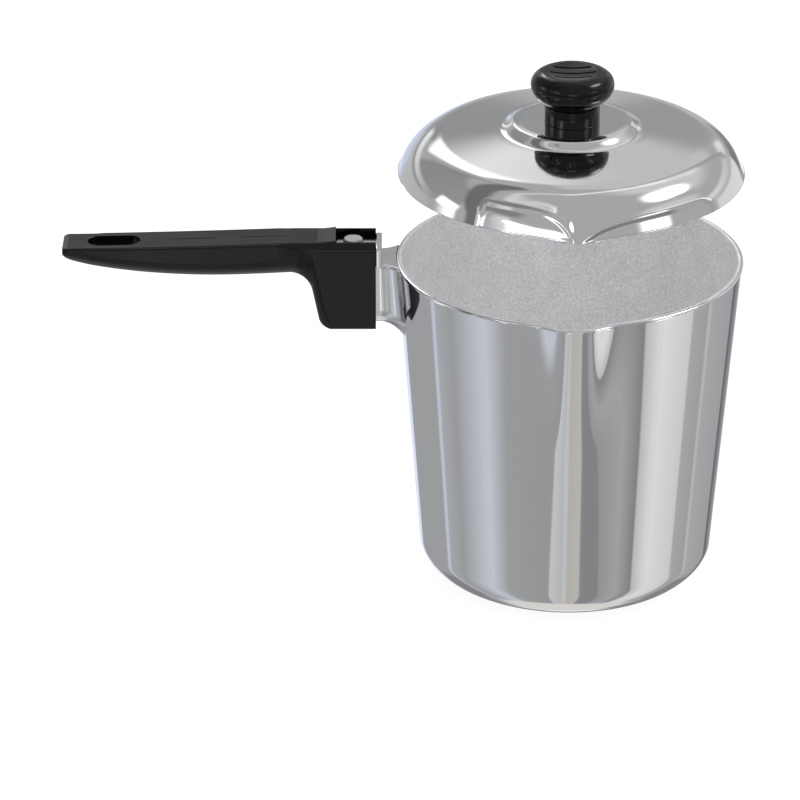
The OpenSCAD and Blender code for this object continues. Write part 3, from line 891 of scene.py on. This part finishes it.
# %% [markdown]
# ## The handle
#
# The handle is one moulding. Seen from the side its underside is a path: under the block, round a
# corner, up a raked face, through a fillet and along the grip to the rounded tip. A section is carried
# along that path: a flat top with rounded edges, sloping shoulders on the block, upright sides and a
# round belly. The channel, the bores and the hanging slot are then cut out.

# %% Handle sizes
handle_l = -plate_x - grip_low[0]
handle_up = 11.6
handle_drop = 3.15
level_l = 42.0
top_w = 20.4
grip_w = 21.0
block_w = 2 * grip_high[1]
block_depth = pan_h - grip_low[2]
grip_depth = 8.7
thumb_h = grip_high[2] - pan_h - handle_up
thumb_l = 11.0
slot_l = 26.5
slot_w = 12.3
slot_in = 12.5
rake = math.radians(12)
block_l = 23.2
block_corner = 6.0
fillet_r = 11.0
thick_at = 83.0
grip_tip_rise = 11.5
grip_tip_curve = 1.8
fillet_rise = 1.9
top_fall = 1.35

grip_bottom = fillet_rise - grip_depth
face_low = np.array([block_l + block_corner * math.cos(rake),
                     -block_depth + block_corner * (1 - math.sin(rake))])
face_l = (grip_bottom - fillet_r + fillet_r * math.sin(rake) - face_low[1]) / math.cos(rake)
face_high = face_low + face_l * np.array([math.sin(rake), math.cos(rake)])
fillet_x = face_high[0] + fillet_r * math.cos(rake)
channel_end = tang_l + slide_gap

before_thick = np.linspace(fillet_x, thick_at, 40)
theta = np.linspace(0, np.pi / 2, 90)
rise = fillet_rise * ((thick_at - before_thick) / (thick_at - fillet_x)) ** 2
belly = np.stack([before_thick, rise - grip_depth], -1)
to_tip = np.stack([thick_at + (handle_l - thick_at) * np.sin(theta) ** (2 / grip_tip_curve),
                   -grip_depth + grip_tip_rise * (1 - np.cos(theta) ** (2 / grip_tip_curve))], -1)
under = chain(
    line((0, -block_depth), (block_l, -block_depth), 10),
    arc((block_l, -block_depth + block_corner), (block_corner, block_corner), -90, -math.degrees(rake), 14),
    line(face_low, face_high, 8),
    arc((fillet_x, grip_bottom - fillet_r), (fillet_r, fillet_r), 180 - math.degrees(rake), 90, 16),
    belly, to_tip,
)
print(f"handle {handle_l:.1f} mm long, with a block {block_depth:.1f} mm deep")

# %% [markdown]
# The section is worked out for all stations at once, as arrays with one row a station. Its numbers
# glide from the block's to the grip's by S-curves and by straight interpolation.

# %% Handle section
grip_tip_inset = 1.3
grip_tip_inset_l = 2.6
taper_l = 22.0
taper_from = 30.0
shoulder_from = 26.0
block_shoulder = 3.4
grip_shoulder = 1.2
top_edge = 0.9
side_edge = 1.2
# The half width of the flat underside and the height of the round flanks, at five places along
stops = [0, block_l, face_low[0], fillet_x, fillet_x + 20]
flat_at = [block_w / 2 - 2.5, block_w / 2 - 2.5, block_w / 2 - 5.5, 3, 1.2]
bend_at = [2.5, 2.5, 26, 12, 9]


def top_at(u):
    """Height of the handle's top over the rim: level at first, then ever more gently down to the tip."""
    t = np.clip((u - level_l) / (handle_l - level_l), 0, 1)
    return handle_up - handle_drop * (1 - (1 - t) ** top_fall)


def handle_ring(u, z):
    """Half widths and heights of the handle's section at distances u from the stop plate."""
    inset = grip_tip_inset * np.clip(1 - (handle_l - u) / grip_tip_inset_l, 0, 1) ** 2
    top = top_at(u) - inset / 2
    w = block_w / 2 + (grip_w - block_w) / 2 * smooth((u - taper_from) / taper_l) - inset
    risen = smooth((u - shoulder_from) / taper_l)
    shoulder = top - block_shoulder + (block_shoulder - grip_shoulder) * risen
    flat_w = np.interp(u, stops, flat_at) - np.minimum(inset, 1)
    bend = np.minimum(shoulder - z - 0.6, np.interp(u, stops, bend_at))
    zero = np.zeros_like(u)
    edge = np.stack([top_w / 2 - inset, top], -1)
    side = np.stack([w, shoulder], -1)
    low = np.stack([w, z + bend], -1)
    flat = np.linspace(0, 0.86, 8) * (top_w / 2 - inset)[..., None]
    upper = np.stack([flat, np.broadcast_to(top[..., None], flat.shape)], -1)
    edge_curve = corner(np.stack([zero, top], -1), edge, side, zero + top_edge, 6)
    side_curve = corner(edge, side, low, np.minimum(side_edge, 0.3 * (shoulder - z - bend) + 0.3), 6)
    a = np.radians(np.linspace(0, 90, 16))
    belly_y = flat_w[..., None] + (w - flat_w)[..., None] * np.cos(a)
    belly_z = (z + bend)[..., None] - bend[..., None] * np.sin(a)
    flank = np.stack([belly_y, belly_z], -1)
    middle = np.stack([flat_w * 0.5, z], -1)[..., None, :]
    bottom = np.stack([zero, z], -1)[..., None, :]
    half = np.concatenate([upper, edge_curve, side_curve, flank, middle, bottom], axis=-2)
    other = half[..., -2:0:-1, :] * [-1, 1]
    return np.concatenate([half, other], axis=-2)


# %% Handle surface
section = handle_ring(under[:, 0], under[:, 1])
along_x = np.broadcast_to((-plate_x - under[:, 0])[:, None], section.shape[:2])
grip = build_closed("handle_body", np.stack([along_x, section[..., 0], pan_h + section[..., 1]], -1))

# %% [markdown]
# The cutters for the handle are the channel over the tang, room for a spanner round the nut, the
# screw's bore and recess, the hanging slot and two fine lines. The thumb rest is a small ramp that
# is joined on first.

# %% Handle cutters
recess_r = 5.5
ledge_z = pan_h - block_depth + 11.2
channel_w = tang_w + 2 * slide_gap
channel_x = -plate_x - channel_end
tang_bottom = pan_h - tang_down
over_all = pan_h + 30
under_grip = pan_h - 15
spanner_gap = 0.7
slot_soft = 0.15
line_w = 0.6
line_deep = 0.3
line_runs = {"line_far": (-203, -179), "line_near": (-166, -142)}


def handle_top(x):
    """Height of the handle's top over the base, at a place along the handle."""
    return pan_h + top_at(-plate_x - x)


def slit(name, from_x, to_x):
    """A cutter for a fine line, whose floor follows the handle's top."""
    corners = [[x, y, z] for x in (from_x, to_x) for y in (-line_w / 2, line_w / 2)
               for z in (handle_top(x) - line_deep, over_all)]
    return build(name, corners, [BOX_FACES])


rest_u = (channel_end + hair + (thumb_l - hair) * np.linspace(0, 1, 13))[:, None]
rest_top = handle_up - hair + thumb_h * (1 - (rest_u - channel_end) / thumb_l) ** 2
rest_sunk = handle_up - 1
rest_w = top_w / 2 - 1
rest_y = np.array([-1, -1, -0.6, 0.6, 1, 1]) * rest_w
rest_share = np.array([0, 1, 1, 1, 1, 0])
rest_z = pan_h + rest_sunk + rest_share * (rest_top - rest_sunk)
thumb_rest = build_closed("thumb_rest", np.stack(np.broadcast_arrays(-plate_x - rest_u, rest_y, rest_z), -1))

spanner_room = post("spanner_room", (bolt_x, 0), channel_w / 2 + spanner_gap, tang_top, over_all)
combine(spanner_room, [block("short_of_rest", (channel_x + hair / 2, -15, tang_top - 1),
                             (-plate_x - 1, 15, over_all + 10))], "INTERSECT")

slot_near = -plate_x - handle_l + slot_in
tools = [
    obround("slot_cutter", slot_near, slot_near + slot_l, slot_w / 2, under_grip, handle_top, slot_soft),
    *[slit(name, *run) for name, run in line_runs.items()],
    block("channel", (channel_x, -channel_w / 2, tang_bottom), (-plate_x + 2, channel_w / 2, over_all)),
    spanner_room,
    post("barrel_way", (bolt_x, 0), bore_r, ledge_z - 1, tang_bottom + 1),
    post("screw_recess", (bolt_x, 0), recess_r, pan_h - block_depth - 2, ledge_z),
]

# %% The finished handle
combine(grip, [thumb_rest], "UNION")
combine(grip, tools, "DIFFERENCE")
crisp(grip, 32)
grip.data.materials.clear()
grip.data.materials.append(grip_finish)
grip.data.materials.append(rest_finish)
centres = np.empty(3 * len(grip.data.polygons))
grip.data.polygons.foreach_get("center", centres)
centres = centres.reshape(-1, 3) / MM
from_plate = -plate_x - centres[:, 0]
on_rest = (from_plate > channel_end) & (from_plate < channel_end + thumb_l) \
    & (centres[:, 2] > handle_top(centres[:, 0]) + 0.01)
grip.data.polygons.foreach_set("material_index", on_rest.astype(np.int32))
print("faces of the thumb rest:", int(on_rest.sum()))
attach(grip, "pan")
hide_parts("handle_grip")

# %% [markdown]
# ## Screws, washers and bush
#
# These five sit inside the block and under the lid. Their CAD shapes are right as they are, so they
# keep them and only get their metal.

# %% Hidden hardware
hardware = {
    "handle_washer": screw_finish, "handle_screw": screw_finish, "knob_washer": centre_screw_finish,
    "knob_screw": centre_screw_finish, "knob_insert": bush_finish,
}
for node, finish in hardware.items():
    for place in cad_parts[node].material_slots:
        place.material = finish
print("finished hardware:", sorted(hardware))

# %% [markdown]
# ## Floor and background
#
# The picture has a plain white ground. The floor is one large pale plane. For the camera it is lifted
# to white by a little light of its own, and the pan's shadow stays on it as a soft grey. The polished
# metal doesn't mirror the floor, but the studio below, as it would over a sheet of glass.

# %% Floor
FLOOR_HALF = 3.0
corners = [(x * FLOOR_HALF, y * FLOOR_HALF, 0) for x, y in ((-1, -1), (1, -1), (1, 1), (-1, 1))]
floor_mesh = bpy.data.meshes.new("floor")
floor_mesh.from_pydata(corners, [], [(0, 1, 2, 3)])
floor = bpy.data.objects.new("floor", floor_mesh)
bpy.context.scene.collection.objects.link(floor)
floor.visible_glossy = False
floor.visible_transmission = False
floor_paint = bpy.data.materials.new("painted_studio_floor")
floor_paint.use_nodes = True
tree = floor_paint.node_tree
tree.nodes.clear()
paint = add(tree, "ShaderNodeBsdfDiffuse", Color=(0.25, 0.25, 0.25, 1))
lift = add(tree, "ShaderNodeEmission", Color=(0.8, 0.8, 0.8, 1))
ray = add(tree, "ShaderNodeLightPath")
seen_lift = add(tree, "ShaderNodeMixShader", i0=ray.outputs["Is Camera Ray"], i2=lift.outputs["Emission"])
both = add(tree, "ShaderNodeAddShader", i0=paint.outputs["BSDF"], i1=seen_lift.outputs["Shader"])
add(tree, "ShaderNodeOutputMaterial", Surface=both.outputs["Shader"])
floor_mesh.materials.append(floor_paint)
print("floor:", 2 * FLOOR_HALF, "m wide")

# %% [markdown]
# ## The studio, as polished metal sees it
#
# A polished pan has no colour of its own: it shows the room. So the room is made as a big dome that
# only mirrors see. It starts as an even grey, and panels, windows and lamps are laid on it by
# direction, the ones above the horizon for the lid and the ones below it for the pan's tapered wall.
# Azimuth 0 is +X, to the right, -90 is -Y, towards the camera, and 180 is the handle's side.
#
# A panel lies between two azimuths and two elevations. Its colour may change from one side to the
# other, and its edges are soft. A strip is a band of some width along a few points. Each one is
# blended over what is already there. All of them are chosen from what the picture's metal shows,
# so their names say what they do there.

# %% Studio panels
# name, azimuth from and to, elevation from and to, softness, colour at both sides, strength
panels = [
    ("room_above", -180, 180, 4, 90, 16, "A6A6A7", "A6A6A7", 1),
    ("glow_right", 20, 58, 34, 72, 14, "C6C6C7", "C6C6C7", 1),
    ("right_low_band", 14, 56, 10, 17.5, 3, "D4D4D5", "BEBEBF", 1),
    ("right_low_line", 12, 60, 6, 10, 2, "B6B6B7", "B4B4B5", 1),
    ("right_low_wall", 18, 59, -16, 5.5, 3, "D2D2D3", "D7D7D8", 1),
    ("wall_behind", 62, 92, 26, 64, 5, "BEBEBF", "BCBCBD", 1),
    ("shade_behind", 72, 106, 10, 24, 5, "9C9C9D", "8A8A8B", 1),
    ("bright_corner", 60, 69, 9, 18, 4, "D2D2D3", "E0E0E1", 1),
    ("wall_joint", 58, 61.5, 14, 64, 2, "9A9A9B", "9A9A9B", 1),
    ("beside_box", 114, 126, 26, 60, 6, "B4B4B5", "8C8C8D", 1),
    ("left_wall", 124, 184, 14, 50, 5, "898989", "939394", 1),
    ("left_low_glow", 102, 166, 10, 16, 4, "EAEAEB", "909091", 1),
    ("left_low_line", 88, 150, 6.5, 9.5, 2, "939394", "929293", 1),
    ("left_low_wall", 104, 180, -18, 6, 3, "BCBCBD", "AAAAAB", 1),
    ("low_gap", 60, 76, -10, 3, 3, "767677", "8A8A8B", 1),
    ("low_middle", 77, 93, -10, 9, 3, "B2B2B3", "B0B0B1", 1),
    ("cool_window_behind", 93, 117, -13, 0, 2, "C6CEE2", "BFC8DE", 1),
    ("left_dusk", -176, -140, 34, 64, 6, "7E7E7F", "808081", 1),
    ("left_dark", -178, -160, 62, 78, 5, "727273", "727273", 1),
    ("left_glow", -151, -142, 18, 31, 4, "C0C0C1", "DADADB", 1),
    ("right_dusk", -48, -22, 21, 38, 5, "A4A4A5", "989899", 1),
    ("dark_table", -166, -18, -22, 5, 8, "7A7A7B", "7A7A7B", 1),
    ("ground_left", -182, -154, -90, -15, 2, "969698", "BFC3CC", 1),
    ("ground_left_return", -154, -138, -90, -15, 2, "C3C7D1", "9A9A9B", 1),
    ("ground_shade", -138, -105, -90, -15, 2, "9A9A9B", "949495", 1),
    ("camera_card", -105, -94, -90, -15, 1, "C2C2C3", "B2B2B3", 1),
    ("thin_card", -94, -90, -90, -15, 1, "C2C2C2", "B9B7B4", 1),
    ("warm_card", -90, -80, -90, -15, 2, "B1ADA9", "B8B5B0", 1),
    ("camera_gap", -80, -64, -90, -15, 2, "848485", "828283", 1),
    ("front_card", -64, -50, -90, -15, 3, "929293", "A0A0A1", 1),
    ("front_card_return", -50, -36.5, -90, -15, 1, "A0A0A1", "7E7E7F", 1),
    ("front_window", -36.5, -24, -90, -15, 1, "B5B6B7", "D7D8D8", 1),
    ("front_window_heart", -24, 2, -90, -15, 1, "D9D9DA", "C6C6C7", 1),
    ("window_side", 2, 18, -90, -15, 2, "A5A5A6", "9B9B9C", 1),
    ("slim_card", 18, 22, -90, -15, 2, "B6B6B7", "B0B0B1", 1),
    ("ground_right", 22, 52, -90, -15, 2, "A4A4A5", "9A9A9B", 1),
    ("dark_frame", 52.5, 58, -90, -15, 1.5, "5A5A5C", "747476", 1),
    ("frame_return", 58, 70, -90, -13, 2, "747476", "A0A4AC", 1),
    ("white_window", 69.5, 95, -90, -11, 1.5, "F6F7F8", "FFFFFF", 1),
    ("cool_pane", 95, 113, -90, -13, 1.5, "D5DCF0", "D4DBEE", 1),
    ("ground_behind", 113, 160, -90, -15, 2, "989899", "9B9B9C", 1),
    ("pane_edge", 159.5, 163.5, -90, -15, 1.5, "BDC1CF", "BDC1CF", 1),
    ("ground_left_start", 163.5, 180, -90, -15, 2, "A4A6AA", "98989A", 1),
    ("pale_floor", -180, 180, -90, -67, 8, "D3CFCB", "D3CFCB", 1),
    # A painted shadow: a grey band for the pan's contact shadow on the floor, where the base's corner
    # mirrors the ground
    ("mirrored_contact_shadow", 20, 160, -60, -41, 5, "838180", "838180", 1),
    ("spot_left", 168, 185, 10.5, 22.5, 5, "FFFFFF", "FFFFFF", 1.6),
    ("spot_right", -37, -21, 13, 23.5, 5, "FFFFFF", "FFFFFF", 1.6),
    ("glow_behind", 86, 100, 28, 50, 9, "CACACB", "F2F2F3", 1),
    ("soft_box_behind", 98, 115, 22, 50, 5, "FFFFFF", "FFFFFF", 1.2),
]
# name, points as azimuth and elevation, half width, softness, colour, strength
strips = [
    ("dark_beam", [(126, 64), (150, 59), (165, 54), (178, 46), (186, 38), (192, 30), (198, 20), (201, 10)],
     5, 3, "6C6C6D", 1),
    ("left_streak", [(-163, 35), (-158, 26), (-154, 12)], 1.5, 3, "EEEEEF", 1),
    ("beam_glow", [(-22, 44), (-6, 38), (6, 30)], 5, 9, "C8C8C9", 1),
    ("beam_shade", [(-34, 31), (-14, 27), (0, 20), (12, 10)], 4, 4, "999999", 1),
    ("beam", [(-21, 38.5), (-12, 34.5), (-2, 28.5), (6, 21), (13, 12)], 1.6, 2.4, "FFFFFF", 1),
    ("tube_glow", [(53, 40), (53, 56)], 3, 6, "DCDCDD", 1),
    ("tube_upright", [(53, 52), (55, 62), (59, 68)], 1.6, 2, "F6F6F6", 1),
    ("tube_over", [(58, 67), (65, 73), (76, 78), (90, 80), (102, 79)], 1.2, 2, "EFEFEF", 1),
    ("tube_far", [(102, 79), (125, 76.5), (145, 74), (160, 70), (170, 66)], 1.2, 2, "D4D4D4", 1),
    ("soft_box_right", [(7, 55), (20, 49)], 8, 6, "FFFFFF", 1.3),
    ("soft_box_right_heart", [(7, 54), (18, 49)], 6.5, 3, "FFFFFF", 8),
    ("soft_box_behind_heart", [(103, 29), (106, 33)], 2.5, 3, "FFFFFF", 6),
    ("lamp_front_left", [(-141, 23), (-131, 19)], 2.2, 3, "FFFFFF", 3),
    ("lamp_low_left", [(-136, -19.5), (-136, -16)], 1.4, 3, "FFFFFF", 2.2),
    ("lamp_low_handle", [(171, -18.5), (177, -18.5)], 2, 2, "FFFFFF", 2.5),
    ("slit_shade", [(172, -24), (180, -24)], 1.6, 1, "1C1C1E", 1),
    ("neck_sheen", [(-130, -23.5), (-102, -23.5)], 1.4, 1.5, "D6D6D6", 1),
    ("neck_line", [(-162, -23.5), (-159, -23.5)], 1.2, 1.5, "E6EAF6", 1.2),
    ("lamp_low_right", [(-30, -24), (-23, -19)], 2.5, 3, "FFFFFF", 2.5),
    ("lamp_low_front", [(-95, -24), (-95, -12)], 1.5, 2, "FFFFFF", 1.5),
    ("lamp_front", [(-98, 10), (-82, 9)], 2.2, 3, "FFFFFF", 3),
]
print("studio:", len(panels), "panels and", len(strips), "strips")

# %% [markdown]
# Bare aluminium swallows about 15 % of the light. The colours above are what the metal shows, so the
# dome shines brighter than them by that share. Each cover is a number from 0 to 1 for every direction.

# %% How panels and strips are laid on
METAL_SHARE = 0.85


def direction(azimuth, elevation):
    """Unit vectors for azimuths and elevations in degrees."""
    a, e = np.radians(azimuth), np.radians(elevation)
    return np.stack([np.cos(e) * np.cos(a), np.cos(e) * np.sin(a), np.sin(e)], -1)


def blend(colours, cover, over):
    """Each colour moved towards the one over it by its cover, with allowance for what metal absorbs."""
    return colours + (over / METAL_SHARE - colours) * cover[:, None]


def panel_colours(azimuth, panel):
    """The panel's colour at each azimuth: an even change, in linear light, from one side to the other."""
    _, az_from, az_to, _, _, _, first, last, strength = panel
    t = (((azimuth - az_from + 90) % 360 - 90) / (az_to - az_from)).clip(0, 1)[:, None]
    first, last = (np.array(linear(colour)[:3]) for colour in (first, last))
    return (first + (last - first) * t) * strength


def panel_cover(azimuth, elevation, panel):
    """How much of each direction a panel covers: the product of its soft edges."""
    _, az_from, az_to, el_from, el_to, soft, _, _, _ = panel
    side = np.abs((azimuth - (az_from + az_to) / 2 + 180) % 360 - 180)
    across = smooth(((az_to - az_from) / 2 - side) / soft + 0.5) if az_to - az_from < 360 else 1
    above = smooth((elevation - el_from) / soft + 0.5) if el_from > -90 else 1
    below = smooth((el_to - elevation) / soft + 0.5) if el_to < 90 else 1
    return across * above * below * np.ones_like(azimuth)


def strip_cover(towards, strip):
    """How much of each direction a strip covers, from the distance in degrees to its nearest part."""
    _, points, half_width, soft, _, _ = strip
    knots = direction(*np.array(points, float).T)
    near = np.full(len(towards), np.inf)
    for start, end in zip(knots[:-1], knots[1:]):
        along = end - start
        t = np.clip((towards - start) @ along / (along @ along), 0, 1)[:, None]
        near = np.minimum(near, np.linalg.norm(towards - start - t * along, axis=1))
    return smooth((half_width - np.degrees(near)) / soft + 0.5)


# %% [markdown]
# The dome is a grid of directions, three quarters of a degree by one degree, over an even grey. The
# light of each point is worked out once and kept in the mesh, and the shader gives it back as it is.
# The camera, matte surfaces and shadows don't see the dome, so it can stand round the whole scene.

# %% Studio dome
azimuths = np.arange(0, 360, 0.75)
elevations = np.arange(-89, 89.5, 1.0)
azimuth, elevation = (g.ravel() for g in np.meshgrid(azimuths, elevations))
azimuth = np.append(azimuth, [0, 0])
elevation = np.append(elevation, [-90, 90])
towards = direction(azimuth, elevation)
colours = np.tile(np.array(linear("A2A2A3")[:3]) / METAL_SHARE, (len(towards), 1))
for panel in panels:
    colours = blend(colours, panel_cover(azimuth, elevation, panel), panel_colours(azimuth, panel))
for strip in strips:
    colours = blend(colours, strip_cover(towards, strip), np.array(linear(strip[4])[:3]) * strip[5])

DOME_R = 30.0
rows, cols = len(elevations), len(azimuths)
dome = build("studio_dome", towards * DOME_R / MM, [grid_faces(rows, cols)] + end_faces(rows, cols))
paint_layer = dome.data.color_attributes.new("studio_light", "FLOAT_COLOR", "POINT")
paint_layer.data.foreach_set("color", np.column_stack([colours, np.ones(len(colours))]).ravel())
for way in ("camera", "diffuse", "volume_scatter", "shadow"):
    setattr(dome, "visible_" + way, False)
dome_light = bpy.data.materials.new("studio_dome_light")
dome_light.use_nodes = True
dome_light.cycles.emission_sampling = "NONE"
tree = dome_light.node_tree
tree.nodes.clear()
painted = add(tree, "ShaderNodeVertexColor", {"layer_name": "studio_light"})
glow = add(tree, "ShaderNodeEmission", Color=painted.outputs["Color"], Strength=1.0)
add(tree, "ShaderNodeOutputMaterial", Surface=glow.outputs["Emission"])
dome.data.materials.append(dome_light)

# %% [markdown]
# ## Lamps and ambient light
#
# Two soft boxes above the pan light it and make its shadow on the floor. Two broad fills from the
# front cast no shadow, because the picture shows the pan's inside evenly lit where the raised lid
# would shade it. Mirrors see none of the four, but the dome's bright panels in their places. The world
# gives the even light of a white room, and white where the camera or a mirror looks past all else.

# %% Soft boxes and world
LAMP_FAR = 2.0
LAMP_AIM = np.array([0, 0, 0.23])


def soft_box(name, azimuth, elevation, size, radiance, shadow=True):
    """A lamp turned towards the lid. Its power is radiance * pi * area, and mirrors don't see it."""
    data = bpy.data.lights.new(name, "AREA")
    data.shape = "RECTANGLE"
    data.size, data.size_y = size
    data.energy = radiance * math.pi * size[0] * size[1]
    lamp = bpy.data.objects.new(name, data)
    bpy.context.scene.collection.objects.link(lamp)
    lamp.location = LAMP_AIM + LAMP_FAR * direction(azimuth, elevation)
    lamp.rotation_euler = (math.radians(90 - elevation), 0, math.radians(azimuth + 90))
    lamp.visible_glossy = False
    data.use_shadow = shadow


soft_box("soft_box_right", 12, 52, (0.80, 0.66), 9.0)
soft_box("soft_box_behind", 105, 36, (0.62, 0.72), 9.0)
soft_box("fill_left", -145, 20, (1.2, 1.2), 3.4, shadow=False)
soft_box("fill_right", -35, 20, (1.2, 1.2), 3.8, shadow=False)
print("lamps:", [light.name for light in bpy.data.lights])

world = bpy.data.worlds.new("white_studio")
bpy.context.scene.world = world
world.use_nodes = True
tree = world.node_tree
tree.nodes.clear()
ray = add(tree, "ShaderNodeLightPath")
seen = add(tree, "ShaderNodeMath", {"operation": "MAXIMUM"}, i0=ray.outputs["Is Camera Ray"],
           i1=ray.outputs["Is Glossy Ray"])
seen = add(tree, "ShaderNodeMath", {"operation": "MAXIMUM"}, i0=seen.outputs["Value"],
           i1=ray.outputs["Is Transmission Ray"])
room = add(tree, "ShaderNodeBackground", Color=(0.7, 0.7, 0.7, 1), Strength=1.0)
white = add(tree, "ShaderNodeBackground", Color=(1, 1, 1, 1), Strength=1.0)
choose = add(tree, "ShaderNodeMixShader", i0=seen.outputs["Value"], i1=room.outputs["Background"],
             i2=white.outputs["Background"])
add(tree, "ShaderNodeOutputWorld", Surface=choose.outputs["Shader"])

# %% [markdown]
# ## Camera
#
# The picture was taken from a fair distance with a long lens, looking down by about 25 degrees. The
# camera's place and lens were found by matching the outlines of rim, base, lid and handle.

# %% Camera and output
camera_data = bpy.data.cameras.new("camera")
camera_data.lens = 207
camera_data.sensor_width = 36
camera = bpy.data.objects.new("camera", camera_data)
bpy.context.scene.collection.objects.link(camera)
camera.location = (-0.0860, -2.1466, 1.0825)
camera.rotation_euler = (math.radians(65.195), 0, 0)
bpy.context.scene.camera = camera
bpy.context.scene.view_settings.view_transform = "Standard"
